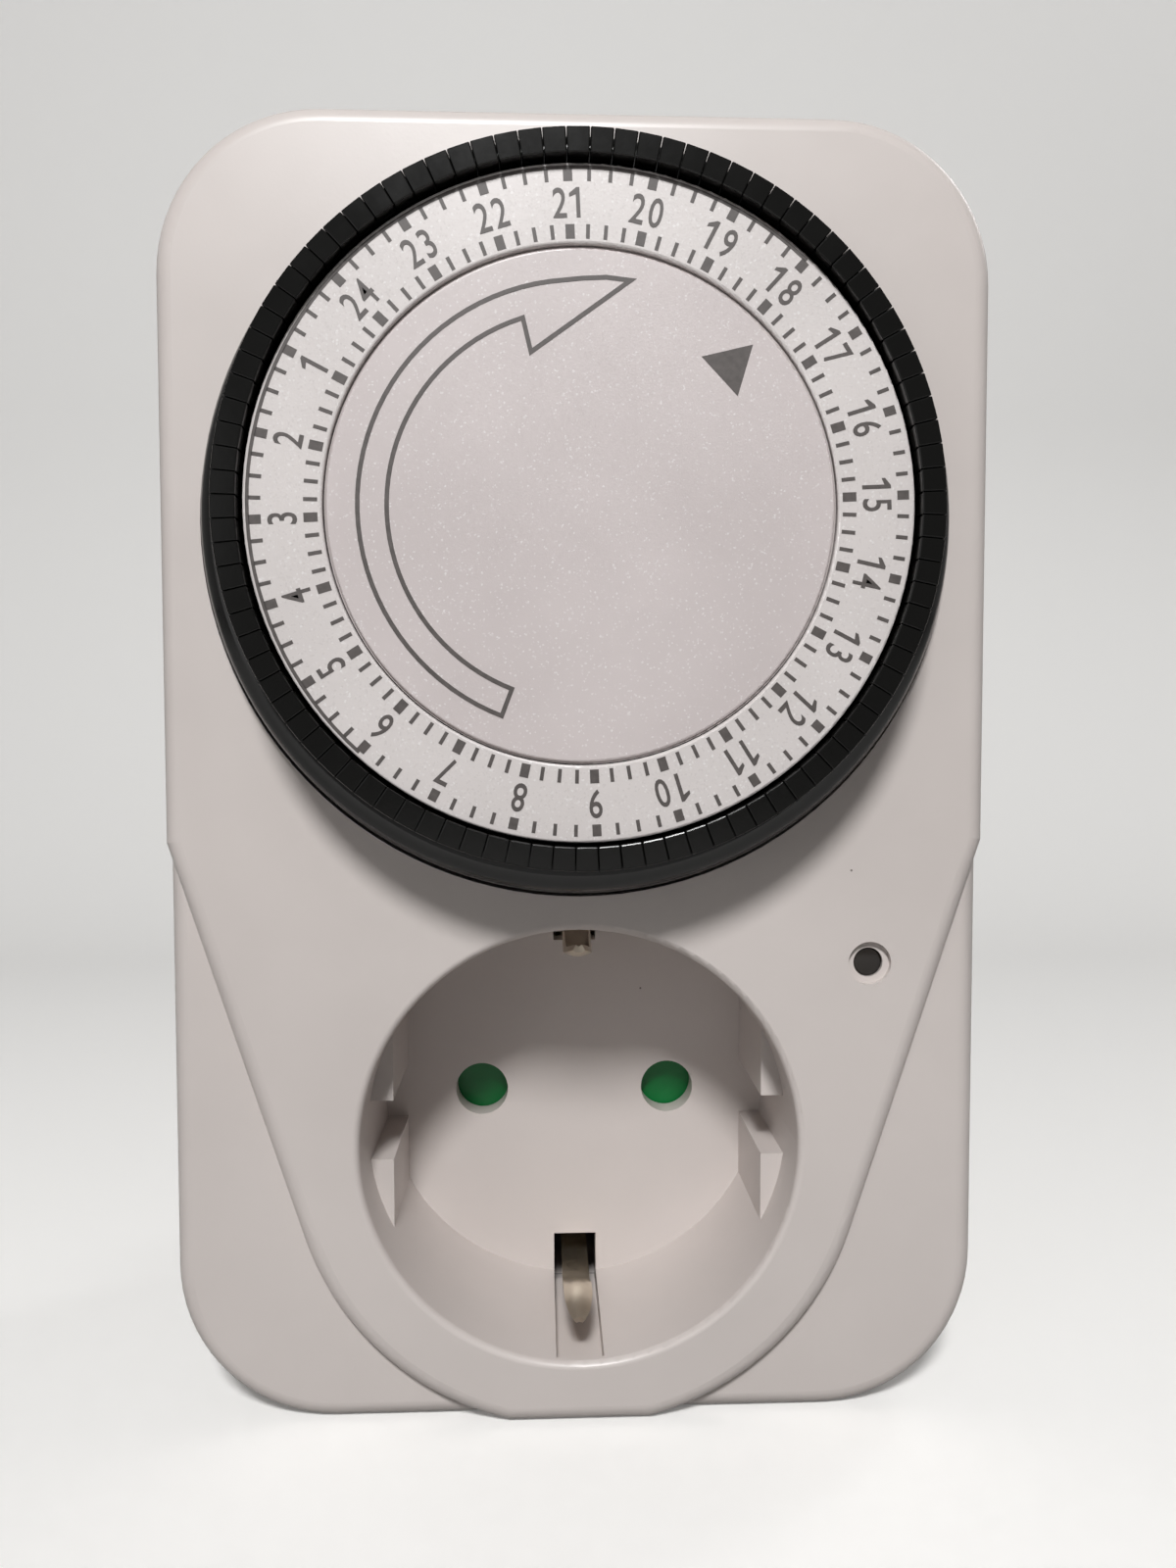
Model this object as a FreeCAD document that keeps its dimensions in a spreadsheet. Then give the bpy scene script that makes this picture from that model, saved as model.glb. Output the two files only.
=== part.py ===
import FreeCAD, Part

import math
import os

import Sketcher
from FreeCAD import Placement, Rotation, Vector

# Plug-in timer switch: a 24 hour dial over an earthed round-pin socket, with the plug behind it.
# Every sub-part is drawn as it is seen from the front: x to the right, y up, z towards the viewer.
# TO_ROW then stands it up: the front faces -Y, up is +Z, and the origin is in the plug's face.
TO_ROW = Placement(Vector(0, 0, 0), Rotation(Vector(1, 0, 0), 90))

doc = FreeCAD.newDocument("timer_switch")
sheet = doc.addObject("Spreadsheet::Sheet", "Sizes")


class Size:
    """A size as it is now, and the expression that keeps it tied to the sheet."""

    def __init__(self, number, text):
        self.number = float(number)
        self.text = text

    def __float__(self):
        return self.number

    def __neg__(self):
        return Size(-self.number, f"-({self.text})")

    def __add__(self, other):
        other = as_size(other)
        return Size(self.number + other.number, f"({self.text} + {other.text})")

    def __sub__(self, other):
        other = as_size(other)
        return Size(self.number - other.number, f"({self.text} - {other.text})")

    def __mul__(self, other):
        other = as_size(other)
        return Size(self.number * other.number, f"({self.text} * {other.text})")

    def __truediv__(self, other):
        other = as_size(other)
        return Size(self.number / other.number, f"({self.text} / {other.text})")

    def __radd__(self, other):
        return as_size(other) + self

    def __rsub__(self, other):
        return as_size(other) - self

    def __rmul__(self, other):
        return as_size(other) * self


def as_size(thing):
    return thing if isinstance(thing, Size) else Size(thing, repr(float(thing)))


def sine(angle):
    return Size(math.sin(math.radians(float(angle))), f"sin({angle.text})")


def cosine(angle):
    return Size(math.cos(math.radians(float(angle))), f"cos({angle.text})")


row_count = 0


def size(alias, number, meaning):
    """Write one driving size in the sheet and hand it back, tied to its cell."""
    global row_count
    row_count += 1
    sheet.set(f"A{row_count}", alias)
    sheet.set(f"B{row_count}", str(number))
    sheet.set(f"C{row_count}", meaning)
    sheet.setAlias(f"B{row_count}", alias)
    return Size(number, f"Sizes.{alias}")


# Case
case_width = size("case_width", 71.4, "across the case")
case_below = size("case_below", 24.8, "socket axis down to the bottom of the case")
case_above = size("case_above", 89.1, "socket axis up to the top of the case")
case_depth = size("case_depth", 38.0, "back of the case to its raised front")
case_corner = size("case_corner", 14.0, "corner radius seen from the front")
case_edge = size("case_edge", 1.6, "rounding of the front and rear edges and of the raised contour")
case_wall = size("case_wall", 2.0, "wall of both shells")
rear_depth = size("rear_depth", 14.0, "depth of the rear shell up to the seam")
lip_height = size("lip_height", 1.5, "tongue of the rear shell inside the front shell")
lip_wall = size("lip_wall", 0.9, "thickness of that tongue")
step_height = size("step_height", 1.5, "raised front above the two lower corners")
contour_radius = size("contour_radius", 25.6, "raised contour below the socket")
contour_lean = size("contour_lean", 18.0, "degrees that the contour leans out above it")
loose = size("loose", 0.3, "gap between pieces that must not touch")
snug = size("snug", 0.15, "gap round a piece that drops into its seat")
running = size("running", 0.05, "radial gap of a shaft in its bore")

# Socket
recess_radius = size("recess_radius", 19.3, "round recess of the socket")
recess_depth = size("recess_depth", 17.5, "depth of the recess")
recess_wall = size("recess_wall", 1.8, "wall round the recess")
recess_rim = size("recess_rim", 0.6, "rounding of the rim")
floor_wall = size("floor_wall", 2.5, "floor of the recess")
guide_reach = size("guide_reach", 17.0, "socket axis to the flat of a side guide")
guide_start = size("guide_start", 5.6, "rim down to the side guides")
groove_width = size("groove_width", 5.5, "groove in the middle of a side guide")
pin_spacing = size("pin_spacing", 19.0, "between the two pins")
hole_radius = size("hole_radius", 2.65, "pin hole in the floor")
slot_width = size("slot_width", 4.3, "slot of an earth contact")
slot_start = size("slot_start", 1.0, "rim down to that slot")
slot_inside = size("slot_inside", 4.0, "slot inside the recess wall")
slot_outside = size("slot_outside", 2.0, "slot into the recess wall")
slot_wall = size("slot_wall", 1.2, "wall behind the slot")
lamp_x = size("lamp_x", 25.5, "lamp hole, right of the socket axis")
lamp_up = size("lamp_up", 16.2, "lamp hole, above the socket axis")
lamp_hole = size("lamp_hole", 1.3, "radius of the lamp hole")
lamp_dish = size("lamp_dish", 1.9, "radius of the dish round it")
lamp_dish_depth = size("lamp_dish_depth", 0.6, "depth of that dish")
lamp_radius = size("lamp_radius", 2.1, "glass of the lamp")
lamp_length = size("lamp_length", 9.0, "length of that glass")
lamp_sleeve = size("lamp_sleeve", 1.0, "wall of the sleeve that holds the lamp")
lamp_lead_gap = size("lamp_lead_gap", 2.0, "between the leads of the lamp")
lamp_lead_radius = size("lamp_lead_radius", 0.3, "leads of the lamp")
lamp_lead_length = size("lamp_lead_length", 5.0, "leads of the lamp")
resistor_radius = size("resistor_radius", 1.2, "resistor of the lamp")
resistor_length = size("resistor_length", 6.0, "resistor of the lamp")

# Plug
plug_length = size("plug_length", 18.0, "plug face to the back of the case")
plug_radius = size("plug_radius", 18.5, "round body of the plug")
plug_wall = size("plug_wall", 2.6, "wall and face of the plug")
plug_hollow = size("plug_hollow", 13.9, "hollow of the plug")
plug_flange = size("plug_flange", 2.0, "flange inside the rear shell")
plug_flange_reach = size("plug_flange_reach", 2.2, "flange beyond the plug's side")
plug_flat = size("plug_flat", 16.6, "plug axis to the flat of a side keyway")
keyway_width = size("keyway_width", 5.0, "rib left in the middle of a keyway")
pin_radius = size("pin_radius", 2.4, "plug pin")
pin_length = size("pin_length", 19.0, "pin beyond the plug face")
pin_neck = size("pin_neck", 2.2, "neck of the pin in the plug face")
pin_neck_length = size("pin_neck_length", 0.3, "neck beyond the plug face")
pin_collar = size("pin_collar", 3.1, "collar of the pin inside the plug")
pin_collar_height = size("pin_collar_height", 1.6, "height of that collar")
tail_radius = size("tail_radius", 1.5, "riveted tail of the pin")
tail_height = size("tail_height", 1.8, "tail above the collar")

# Earth contacts
clip_thick = size("clip_thick", 0.6, "sheet of the earth contacts")
socket_clip_width = size("socket_clip_width", 2.7, "contact in the socket")
socket_clip_seat = size("socket_clip_seat", 18.75, "socket axis to the back of the contact")
socket_clip_bulge = size("socket_clip_bulge", 2.3, "how far the contact bulges inwards")
socket_clip_tip = size("socket_clip_tip", 3.2, "rim down to the tip of the contact")
socket_clip_base = size("socket_clip_base", 5.4, "contact's base behind the recess floor")
plug_clip_width = size("plug_clip_width", 5.4, "contact on the plug")
plug_clip_reach = size("plug_clip_reach", 17.9, "plug axis to the outside of the contact")
plug_clip_channel = size("plug_clip_channel", 7.2, "channel in the plug for it")
plug_clip_start = size("plug_clip_start", 2.2, "plug face to the end of the channel")
plug_clip_play = size("plug_clip_play", 0.8, "room for the contact to give inwards")
plug_edge = size("plug_edge", 1.2, "rounding of the plug face")
keyway_half = size("keyway_half", 8.5, "half the width of a side keyway")
earth_post_radius = size("earth_post_radius", 1.6, "post that joins the two contacts")

# Live and neutral parts
strip_thick = size("strip_thick", 0.6, "current strips")
strip_width = size("strip_width", 3.0, "current strips")
grip_width = size("grip_width", 5.0, "leaf of a socket contact")
grip_gap = size("grip_gap", 4.4, "between the two leaves at the mouth")
grip_base = size("grip_base", 6.4, "between the two leaves at the base")
spacer_height = size("spacer_height", 3.0, "insulating spacer under the live contact")
tail_pad = size("tail_pad", 2.6, "half the pad round the pin's tail")
feed_riser = size("feed_riser", 8.4, "socket axis to the riser of the live strip")
feed_run = size("feed_run", 3.0, "plug's flange to the live strip's long run")
return_run = size("return_run", 1.5, "plug's flange to the return strip's long run")
return_x = size("return_x", 23.4, "return strip, right of the middle")

# Shutter
shutter_thick = size("shutter_thick", 1.6, "child safety shutter")
shutter_arm = size("shutter_arm", 13.4, "reach of its arms")
shutter_half = size("shutter_half", 3.2, "half the width of an arm")
shutter_hub = size("shutter_hub", 4.8, "radius of its hub")
shutter_pivot = size("shutter_pivot", 1.9, "post that the shutter turns on")
shutter_spring_room = size("shutter_spring_room", 0.7, "room for its spring")
cover_thick = size("cover_thick", 1.5, "plate behind the shutter")
cover_half_width = size("cover_half_width", 13.5, "half the width of that plate")
cover_half_height = size("cover_half_height", 10.0, "half its height")
standoff_reach = size("standoff_reach", 8.2, "socket axis to a standoff of the plate")
standoff_radius = size("standoff_radius", 1.5, "standoff")

# Dial
dial_up = size("dial_up", 54.3, "dial axis above the socket axis")
well_radius = size("well_radius", 32.0, "opening in the case for the dial")
well_collar = size("well_collar", 1.0, "collar round that opening")
well_depth = size("well_depth", 3.6, "depth of the opening and its collar")
print_height = size("print_height", 7.5, "number ring above the case")
ring_outer = size("ring_outer", 26.6, "outside of the number ring")
ring_inner = size("ring_inner", 20.4, "inside of the number ring")
ring_thick = size("ring_thick", 0.8, "number ring")
ring_step = size("ring_step", 0.15, "centre disc below the number ring")
disc_thick = size("disc_thick", 1.2, "centre disc")
disc_gap = size("disc_gap", 0.25, "centre disc to the number ring")
drum_wall = size("drum_wall", 1.0, "walls of the dial drum")
cage_gap = size("cage_gap", 0.1, "number ring to the segment pockets")
segment_count = size("segment_count", 96, "segments round the dial")
segment_inner = size("segment_inner", 26.85, "inside of the segments")
segment_outer = size("segment_outer", 28.8, "outside of the segments")
segment_split = size("segment_split", 0.24, "gap between two segment heads")
segment_top = size("segment_top", 8.6, "top of a raised segment above the case")
segment_head = size("segment_head", 2.8, "height of a segment head")
segment_travel = size("segment_travel", 2.5, "how far a segment is pushed in")
segment_chamfer = size("segment_chamfer", 0.22, "chamfer round the top of a segment")
foot_width = size("foot_width", 1.1, "foot of a segment")
rib_thick = size("rib_thick", 0.36, "rib between two pockets")
cage_top = size("cage_top", 3.0, "cage above the case")
cage_bottom = size("cage_bottom", 1.2, "cage and web of the drum below the case front")
cage_wall = size("cage_wall", 0.9, "outer wall of the cage")
skirt_radius = size("skirt_radius", 31.6, "skirt of the dial")
skirt_top = size("skirt_top", 1.2, "skirt above the case")
skirt_bottom = size("skirt_bottom", 0.6, "skirt below the case front")
post_radius = size("post_radius", 3.0, "post that the dial turns on")
post_collar = size("post_collar", 5.5, "collar at the foot of the post")
post_collar_height = size("post_collar_height", 2.0, "height of that collar")
hub_wall = size("hub_wall", 2.0, "hub of the dial drum")
stub_radius = size("stub_radius", 1.9, "stub of the centre disc in the post")
stub_length = size("stub_length", 6.0, "length of that stub")
boss_radius = size("boss_radius", 4.5, "boss under the centre disc")
boss_height = size("boss_height", 1.3, "height of that boss")
pointer_angle = size("pointer_angle", 46.5, "degrees clockwise from the top to the time pointer")
hour_zero = size("hour_zero", 312.5, "degrees clockwise from the top to midnight")

# Chassis, motor and gears
chassis_front = size("chassis_front", 12.0, "case front to the front of the chassis")
chassis_thick = size("chassis_thick", 2.0, "chassis plate")
chassis_gap = size("chassis_gap", 1.0, "chassis to the inside of the case")
chassis_bottom = size("chassis_bottom", 24.5, "socket axis to the chassis's lower edge")
module_size = size("module_size", 0.5, "gear module")
pressure_angle = size("pressure_angle", 25.0, "degrees, gear teeth")
backlash = size("backlash", 0.1, "play between two teeth")
dial_teeth = size("dial_teeth", 60, "teeth under the dial")
wheel_teeth = size("wheel_teeth", 40, "teeth of both wheels")
pinion_teeth = size("pinion_teeth", 10, "teeth of every pinion")
dial_gear_width = size("dial_gear_width", 3.0, "width of the dial's teeth")
wheel_width = size("wheel_width", 1.5, "width of a wheel")
gear_clear = size("gear_clear", 0.3, "between gears that pass over each other")
arbor_radius = size("arbor_radius", 0.75, "gear arbors and motor shaft")
gear_hub_radius = size("gear_hub_radius", 1.8, "hub of a gear")
second_bearing = size("second_bearing", 200.0, "degrees, dial axis to the second gear")
first_bearing = size("first_bearing", 90.0, "degrees, second gear to the first gear")
motor_bearing = size("motor_bearing", 30.0, "degrees, first gear to the motor shaft")
motor_radius = size("motor_radius", 16.0, "synchronous motor")
motor_length = size("motor_length", 12.5, "length of the motor")
motor_shaft_inset = size("motor_shaft_inset", 4.0, "motor shaft inside the motor")
motor_above = size("motor_above", 11.7, "motor's middle above the dial axis")

# Switch
lever_width = size("lever_width", 2.6, "sensing lever")
lever_thick = size("lever_thick", 2.2, "sensing lever")
lever_drop = size("lever_drop", 6.0, "case front to the lever's pin")
lever_nose_arm = size("lever_nose_arm", 11.0, "pin to the middle of the nose")
lever_tail_arm = size("lever_tail_arm", 8.0, "pin to the end of the tail")
nose_width = size("nose_width", 2.0, "nose under the segments")
nose_length = size("nose_length", 1.6, "nose along the lever")
lever_pin_radius = size("lever_pin_radius", 0.75, "pin of the lever")
lever_ear = size("lever_ear", 1.5, "ear that holds the pin")
leaf_thick = size("leaf_thick", 0.4, "moving contact leaf")
contact_gap = size("contact_gap", 1.0, "between the open contacts")
rivet_radius = size("rivet_radius", 1.1, "silver contact rivets")
rivet_height = size("rivet_height", 0.25, "silver contact rivets")
leaf_below = size("leaf_below", 17.4, "lever's pin down to the foot of the moving contact")
leaf_length = size("leaf_length", 13.6, "moving contact beyond its foot")
leaf_seat = size("leaf_seat", 3.0, "foot of the moving contact")
fixed_below = size("fixed_below", 13.9, "lever's pin down to the fixed contact")
fixed_foot = size("fixed_foot", 2.5, "joint of the fixed contact above the chassis")

# Override slider in the right-hand wall
slider_up = size("slider_up", 62.0, "middle of the slider above the socket axis")
slider_drop = size("slider_drop", 8.0, "case front to the middle of the slider")
slider_knob = size("slider_knob", 5.0, "knob along its travel")
slider_width = size("slider_width", 4.0, "knob across its travel")
slider_travel = size("slider_travel", 4.0, "travel of the slider")
slider_plate = size("slider_plate", 1.2, "plate behind the slot")
slider_border = size("slider_border", 1.0, "plate round the knob")
slider_proud = size("slider_proud", 0.2, "knob beyond the wall")

# Fasteners
screw_x = size("screw_x", 27.0, "case screws from the middle")
screw_low = size("screw_low", 16.0, "lower case screws below the socket axis")
screw_high = size("screw_high", 80.6, "upper case screws above the socket axis")
screw_boss = size("screw_boss", 3.2, "radius of the screw bosses")
screw_radius = size("screw_radius", 1.45, "screw shank")
screw_length = size("screw_length", 16.0, "screw under the head")
screw_head_radius = size("screw_head_radius", 2.7, "screw head")
screw_head_height = size("screw_head_height", 2.0, "screw head")
screw_sink = size("screw_sink", 4.0, "depth of the counterbore in the rear shell")
screw_sink_wall = size("screw_sink_wall", 1.0, "wall round that counterbore")
screw_slot = size("screw_slot", 0.9, "width of the cross in the head")
fixing_x = size("fixing_x", 26.5, "chassis screws from the middle")
fixing_up = size("fixing_up", 29.0, "chassis screws above the socket axis")
fixing_radius = size("fixing_radius", 1.1, "chassis screw shank")
fixing_length = size("fixing_length", 8.0, "chassis screw under the head")
fixing_head_radius = size("fixing_head_radius", 2.2, "chassis screw head")
fixing_head_height = size("fixing_head_height", 1.4, "chassis screw head")
doc.recompute()

# Counts, and shares of a neighbouring size
hours_round = 24
segments_per_hour = int(segment_count.number) // hours_round
tooth_rise, tooth_drop = 0.8, 1.05
flank_shares = (0.0, 0.35, 0.7, 1.0)
end_round = 0.5
rim_round = 0.25
cross_reach = 0.6
flare_share = 0.25
bulge_start, bulge_peak, bulge_fall = 0.22, 0.72, 1.25
bend_steps, bulge_steps = 6, 12

# Levels in front of the plug face
half_width = case_width / 2
case_back = plug_length
seam = case_back + rear_depth
front = case_back + case_depth
low_front = front - step_height
inner_back = case_back + case_wall
recess_floor = front - recess_depth
floor_back = recess_floor - floor_wall
shutter_front = floor_back - loose
shutter_back = shutter_front - shutter_thick
cover_front = shutter_back - shutter_spring_room
cover_back = cover_front - cover_thick
clip_base = floor_back - socket_clip_base
chassis_top = front - chassis_front
chassis_back = chassis_top - chassis_thick
pin_x = pin_spacing / 2
plug_inside = plug_wall
contact_seat = plug_inside + pin_collar_height
flange_front = inner_back + plug_flange
slot_outer = recess_radius + slot_outside
print_level = front + print_height
ring_back = print_level - ring_thick
cage_low = front - cage_bottom
cage_high = front + cage_top
cage_inner = ring_outer + cage_gap
pocket_outer = segment_outer + snug
cage_outer = pocket_outer + cage_wall
web_back = cage_low
hub_radius = post_radius + running + hub_wall
hub_back = chassis_top + post_collar_height + loose
post_front = print_level - ring_step - disc_thick - boss_height
gear_back = web_back - dial_gear_width
head_bottom = front + segment_top - segment_head
foot_bottom = cage_low + snug
lever_level = front - lever_drop
lower_seat = case_back + screw_sink
upper_seat = chassis_top - (seam - lower_seat)


# Drawing helpers
def bind(thing, name, length):
    thing.setExpression(name, as_size(length).text)


def new_body(label):
    body = doc.addObject("PartDesign::Body", label)
    body.Label = label
    return body


def new_sketch(body, name, level, role="XY_Plane"):
    """A sketch on one of the body's own planes, moved out to a level."""
    sketch = body.newObject("Sketcher::SketchObject", name)
    plane = next(item for item in body.Origin.OriginFeatures if item.Role == role)
    sketch.AttachmentSupport = (plane, [""])
    sketch.MapMode = "FlatFace"
    bind(sketch, "AttachmentOffset.Base.z", level)
    return sketch


def dimension(sketch, constraint, length):
    index = sketch.addConstraint(constraint)
    sketch.setExpression(f"Constraints[{index}]", length.text)


def hold(sketch, kind, geometry, point, place):
    """Hold a point at a signed distance from the sketch's origin, kind DistanceX or DistanceY."""
    place = as_size(place)
    if place.number == 0:
        axis = -2 if kind == "DistanceX" else -1
        sketch.addConstraint(Sketcher.Constraint("PointOnObject", geometry, point, axis))
    elif place.number > 0:
        dimension(sketch, Sketcher.Constraint(kind, -1, 1, geometry, point, place.number), place)
    else:
        back = -place
        dimension(sketch, Sketcher.Constraint(kind, geometry, point, -1, 1, back.number), back)


def draw_circle(sketch, radius, x=0, up=0):
    radius, x, up = as_size(radius), as_size(x), as_size(up)
    middle = Vector(x.number, up.number, 0)
    index = sketch.addGeometry(Part.Circle(middle, Vector(0, 0, 1), radius.number))
    dimension(sketch, Sketcher.Constraint("Radius", index, radius.number), radius)
    hold(sketch, "DistanceX", index, 3, x)
    hold(sketch, "DistanceY", index, 3, up)


def draw_rectangle(sketch, left, right, low, high):
    left, right, low, high = as_size(left), as_size(right), as_size(low), as_size(high)
    corners = [(left, low), (right, low), (right, high), (left, high)]
    points = [Vector(x.number, up.number, 0) for x, up in corners]
    first = sketch.GeometryCount
    for number in range(4):
        sketch.addGeometry(Part.LineSegment(points[number], points[(number + 1) % 4]))
    for number in range(4):
        after = first + (number + 1) % 4
        sketch.addConstraint(Sketcher.Constraint("Coincident", first + number, 2, after, 1))
        direction = "Horizontal" if number % 2 == 0 else "Vertical"
        sketch.addConstraint(Sketcher.Constraint(direction, first + number))
    hold(sketch, "DistanceX", first, 1, left)
    hold(sketch, "DistanceX", first, 2, right)
    hold(sketch, "DistanceY", first, 1, low)
    hold(sketch, "DistanceY", first + 2, 1, high)


def draw_rounded(sketch, half, low, high, corner):
    """A rectangle about the upright axis with four round corners."""
    corner = as_size(corner)
    a, b, c, r = float(half), float(low), float(high), float(corner)
    first = sketch.GeometryCount
    straight = [((-a + r, b), (a - r, b)), ((a, b + r), (a, c - r)),
                ((a - r, c), (-a + r, c)), ((-a, c - r), (-a, b + r))]
    middles = [(a - r, b + r), (a - r, c - r), (-a + r, c - r), (-a + r, b + r)]
    for number in range(4):
        start, end = straight[number]
        sketch.addGeometry(Part.LineSegment(Vector(*start, 0), Vector(*end, 0)))
        circle = Part.Circle(Vector(*middles[number], 0), Vector(0, 0, 1), r)
        turn = (number - 1) * math.pi / 2
        sketch.addGeometry(Part.ArcOfCircle(circle, turn, turn + math.pi / 2))
    for number in range(4):
        line, arc = first + 2 * number, first + 2 * number + 1
        after = first + (2 * number + 2) % 8
        sketch.addConstraint(Sketcher.Constraint("Tangent", line, 2, arc, 1))
        sketch.addConstraint(Sketcher.Constraint("Tangent", arc, 2, after, 1))
        direction = "Horizontal" if number % 2 == 0 else "Vertical"
        sketch.addConstraint(Sketcher.Constraint(direction, line))
    for number in range(1, 4):
        sketch.addConstraint(Sketcher.Constraint("Equal", first + 1, first + 2 * number + 1))
    dimension(sketch, Sketcher.Constraint("Radius", first + 1, r), corner)
    hold(sketch, "DistanceX", first + 2, 1, as_size(half))
    hold(sketch, "DistanceX", first + 6, 1, -as_size(half))
    hold(sketch, "DistanceY", first, 1, low)
    hold(sketch, "DistanceY", first + 4, 1, high)


def draw_band(sketch, half, radius, upright):
    """Two parallel lines at +half and -half, closed by arcs about the origin."""
    half, radius = as_size(half), as_size(radius)
    reach = math.sqrt(radius.number ** 2 - half.number ** 2)
    turn = math.atan2(half.number, reach)
    circle = Part.Circle(Vector(0, 0, 0), Vector(0, 0, 1), radius.number)
    base = math.pi / 2 if upright else 0.0

    def spot(angle):
        return Vector(radius.number * math.cos(angle), radius.number * math.sin(angle), 0)

    first = sketch.GeometryCount
    sketch.addGeometry(Part.ArcOfCircle(circle, base - turn, base + turn))
    sketch.addGeometry(Part.LineSegment(spot(base + turn), spot(base + math.pi - turn)))
    sketch.addGeometry(Part.ArcOfCircle(circle, base + math.pi - turn, base + math.pi + turn))
    sketch.addGeometry(Part.LineSegment(spot(base + math.pi + turn), spot(base + 2 * math.pi - turn)))
    sketch.addConstraint(Sketcher.Constraint("Coincident", first, 3, -1, 1))
    sketch.addConstraint(Sketcher.Constraint("Coincident", first + 2, 3, -1, 1))
    ends = [(first, 2, first + 1, 1), (first + 1, 2, first + 2, 1),
            (first + 2, 2, first + 3, 1), (first + 3, 2, first, 1)]
    for end in ends:
        sketch.addConstraint(Sketcher.Constraint("Coincident", *end))
    dimension(sketch, Sketcher.Constraint("Radius", first, radius.number), radius)
    sketch.addConstraint(Sketcher.Constraint("Equal", first, first + 2))
    direction, kind = ("Vertical", "DistanceX") if upright else ("Horizontal", "DistanceY")
    side = -1 if upright else 1
    for line, sign in ((first + 1, side), (first + 3, -side)):
        sketch.addConstraint(Sketcher.Constraint(direction, line))
        hold(sketch, kind, line, 1, half * sign)


def grow(body, sketch, length):
    """Pad a sketch towards the viewer."""
    feature = body.newObject("PartDesign::Pad", sketch.Name + "_pad")
    feature.Profile = sketch
    bind(feature, "Length", length)
    body.Tip = feature
    return feature


def sink(body, sketch, length):
    """Pocket a sketch away from the viewer."""
    feature = body.newObject("PartDesign::Pocket", sketch.Name + "_pocket")
    feature.Profile = sketch
    bind(feature, "Length", length)
    body.Tip = feature
    return feature


def add_discs(body, name, radius, back, face, places=((0, 0),)):
    sketch = new_sketch(body, name, back)
    for x, up in places:
        draw_circle(sketch, radius, x, up)
    return grow(body, sketch, as_size(face) - back)


def cut_discs(body, name, radius, face, back, places=((0, 0),)):
    sketch = new_sketch(body, name, face)
    for x, up in places:
        draw_circle(sketch, radius, x, up)
    return sink(body, sketch, as_size(face) - back)


def add_blocks(body, name, back, face, *blocks):
    sketch = new_sketch(body, name, back)
    for block in blocks:
        draw_rectangle(sketch, *block)
    return grow(body, sketch, as_size(face) - back)


def cut_blocks(body, name, face, back, *blocks):
    sketch = new_sketch(body, name, face)
    for block in blocks:
        draw_rectangle(sketch, *block)
    return sink(body, sketch, as_size(face) - back)


def round_edges(body, name, radius, wanted, kind="PartDesign::Fillet"):
    """Fillet or chamfer the edges of the body so far that pass a test."""
    doc.recompute()
    base = body.Tip
    edges = [f"Edge{number + 1}" for number, edge in enumerate(base.Shape.Edges) if wanted(edge)]
    feature = body.newObject(kind, name)
    feature.Base = (base, edges)
    bind(feature, "Radius" if kind.endswith("Fillet") else "Size", radius)
    body.Tip = feature
    return feature


def at_level(edge, level):
    """Whether an edge lies wholly in the plane at a level."""
    return all(abs(vertex.Z - float(level)) < 1e-4 for vertex in edge.Vertexes) and \
        abs(edge.CenterOfMass.z - float(level)) < 1e-4


sub_parts = []


def keep(thing, label, placement=TO_ROW):
    """Place a finished sub-part in the row's frame and list it."""
    thing.Label = label
    thing.Placement = placement
    sub_parts.append(thing)
    return thing


def keep_shape(label, shape, placement=TO_ROW):
    """A sub-part whose faces no sketch or primitive gives, such as teeth."""
    feature = doc.addObject("Part::Feature", label)
    feature.Shape = shape
    return keep(feature, label, placement)


def mirrored(places):
    return [(x * sign, up) for x, up in places for sign in (1, -1)]


def extrude(wire, back, face, holes=()):
    """A prism between two levels on a flat outline, with holes."""
    flat = Part.makeFace([wire, *holes], "Part::FaceMakerBullseye")
    flat.translate(Vector(0, 0, float(back)))
    return flat.extrude(Vector(0, 0, float(face) - float(back)))


def outline(points):
    corners = [Vector(x, up, 0) for x, up in points]
    return Part.makePolygon(corners + corners[:1])


def ring_wire(radius, x=0.0, up=0.0):
    return Part.Wire(Part.makeCircle(float(radius), Vector(float(x), float(up), 0)))


def disc(radius, back, face, x=0.0, up=0.0):
    length = float(face) - float(back)
    return Part.makeCylinder(float(radius), length, Vector(float(x), float(up), float(back)))


def block(left, right, low, high, back, face):
    corner = Vector(float(left), float(low), float(back))
    spans = (float(right) - float(left), float(high) - float(low), float(face) - float(back))
    return Part.makeBox(*spans, corner)


screw_places = mirrored([(screw_x, -screw_low), (screw_x, screw_high)])
upper_places = mirrored([(screw_x, screw_high)])
lower_places = mirrored([(screw_x, -screw_low)])
fixing_places = mirrored([(fixing_x, fixing_up)])
pin_places = mirrored([(pin_x, as_size(0))])


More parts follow.
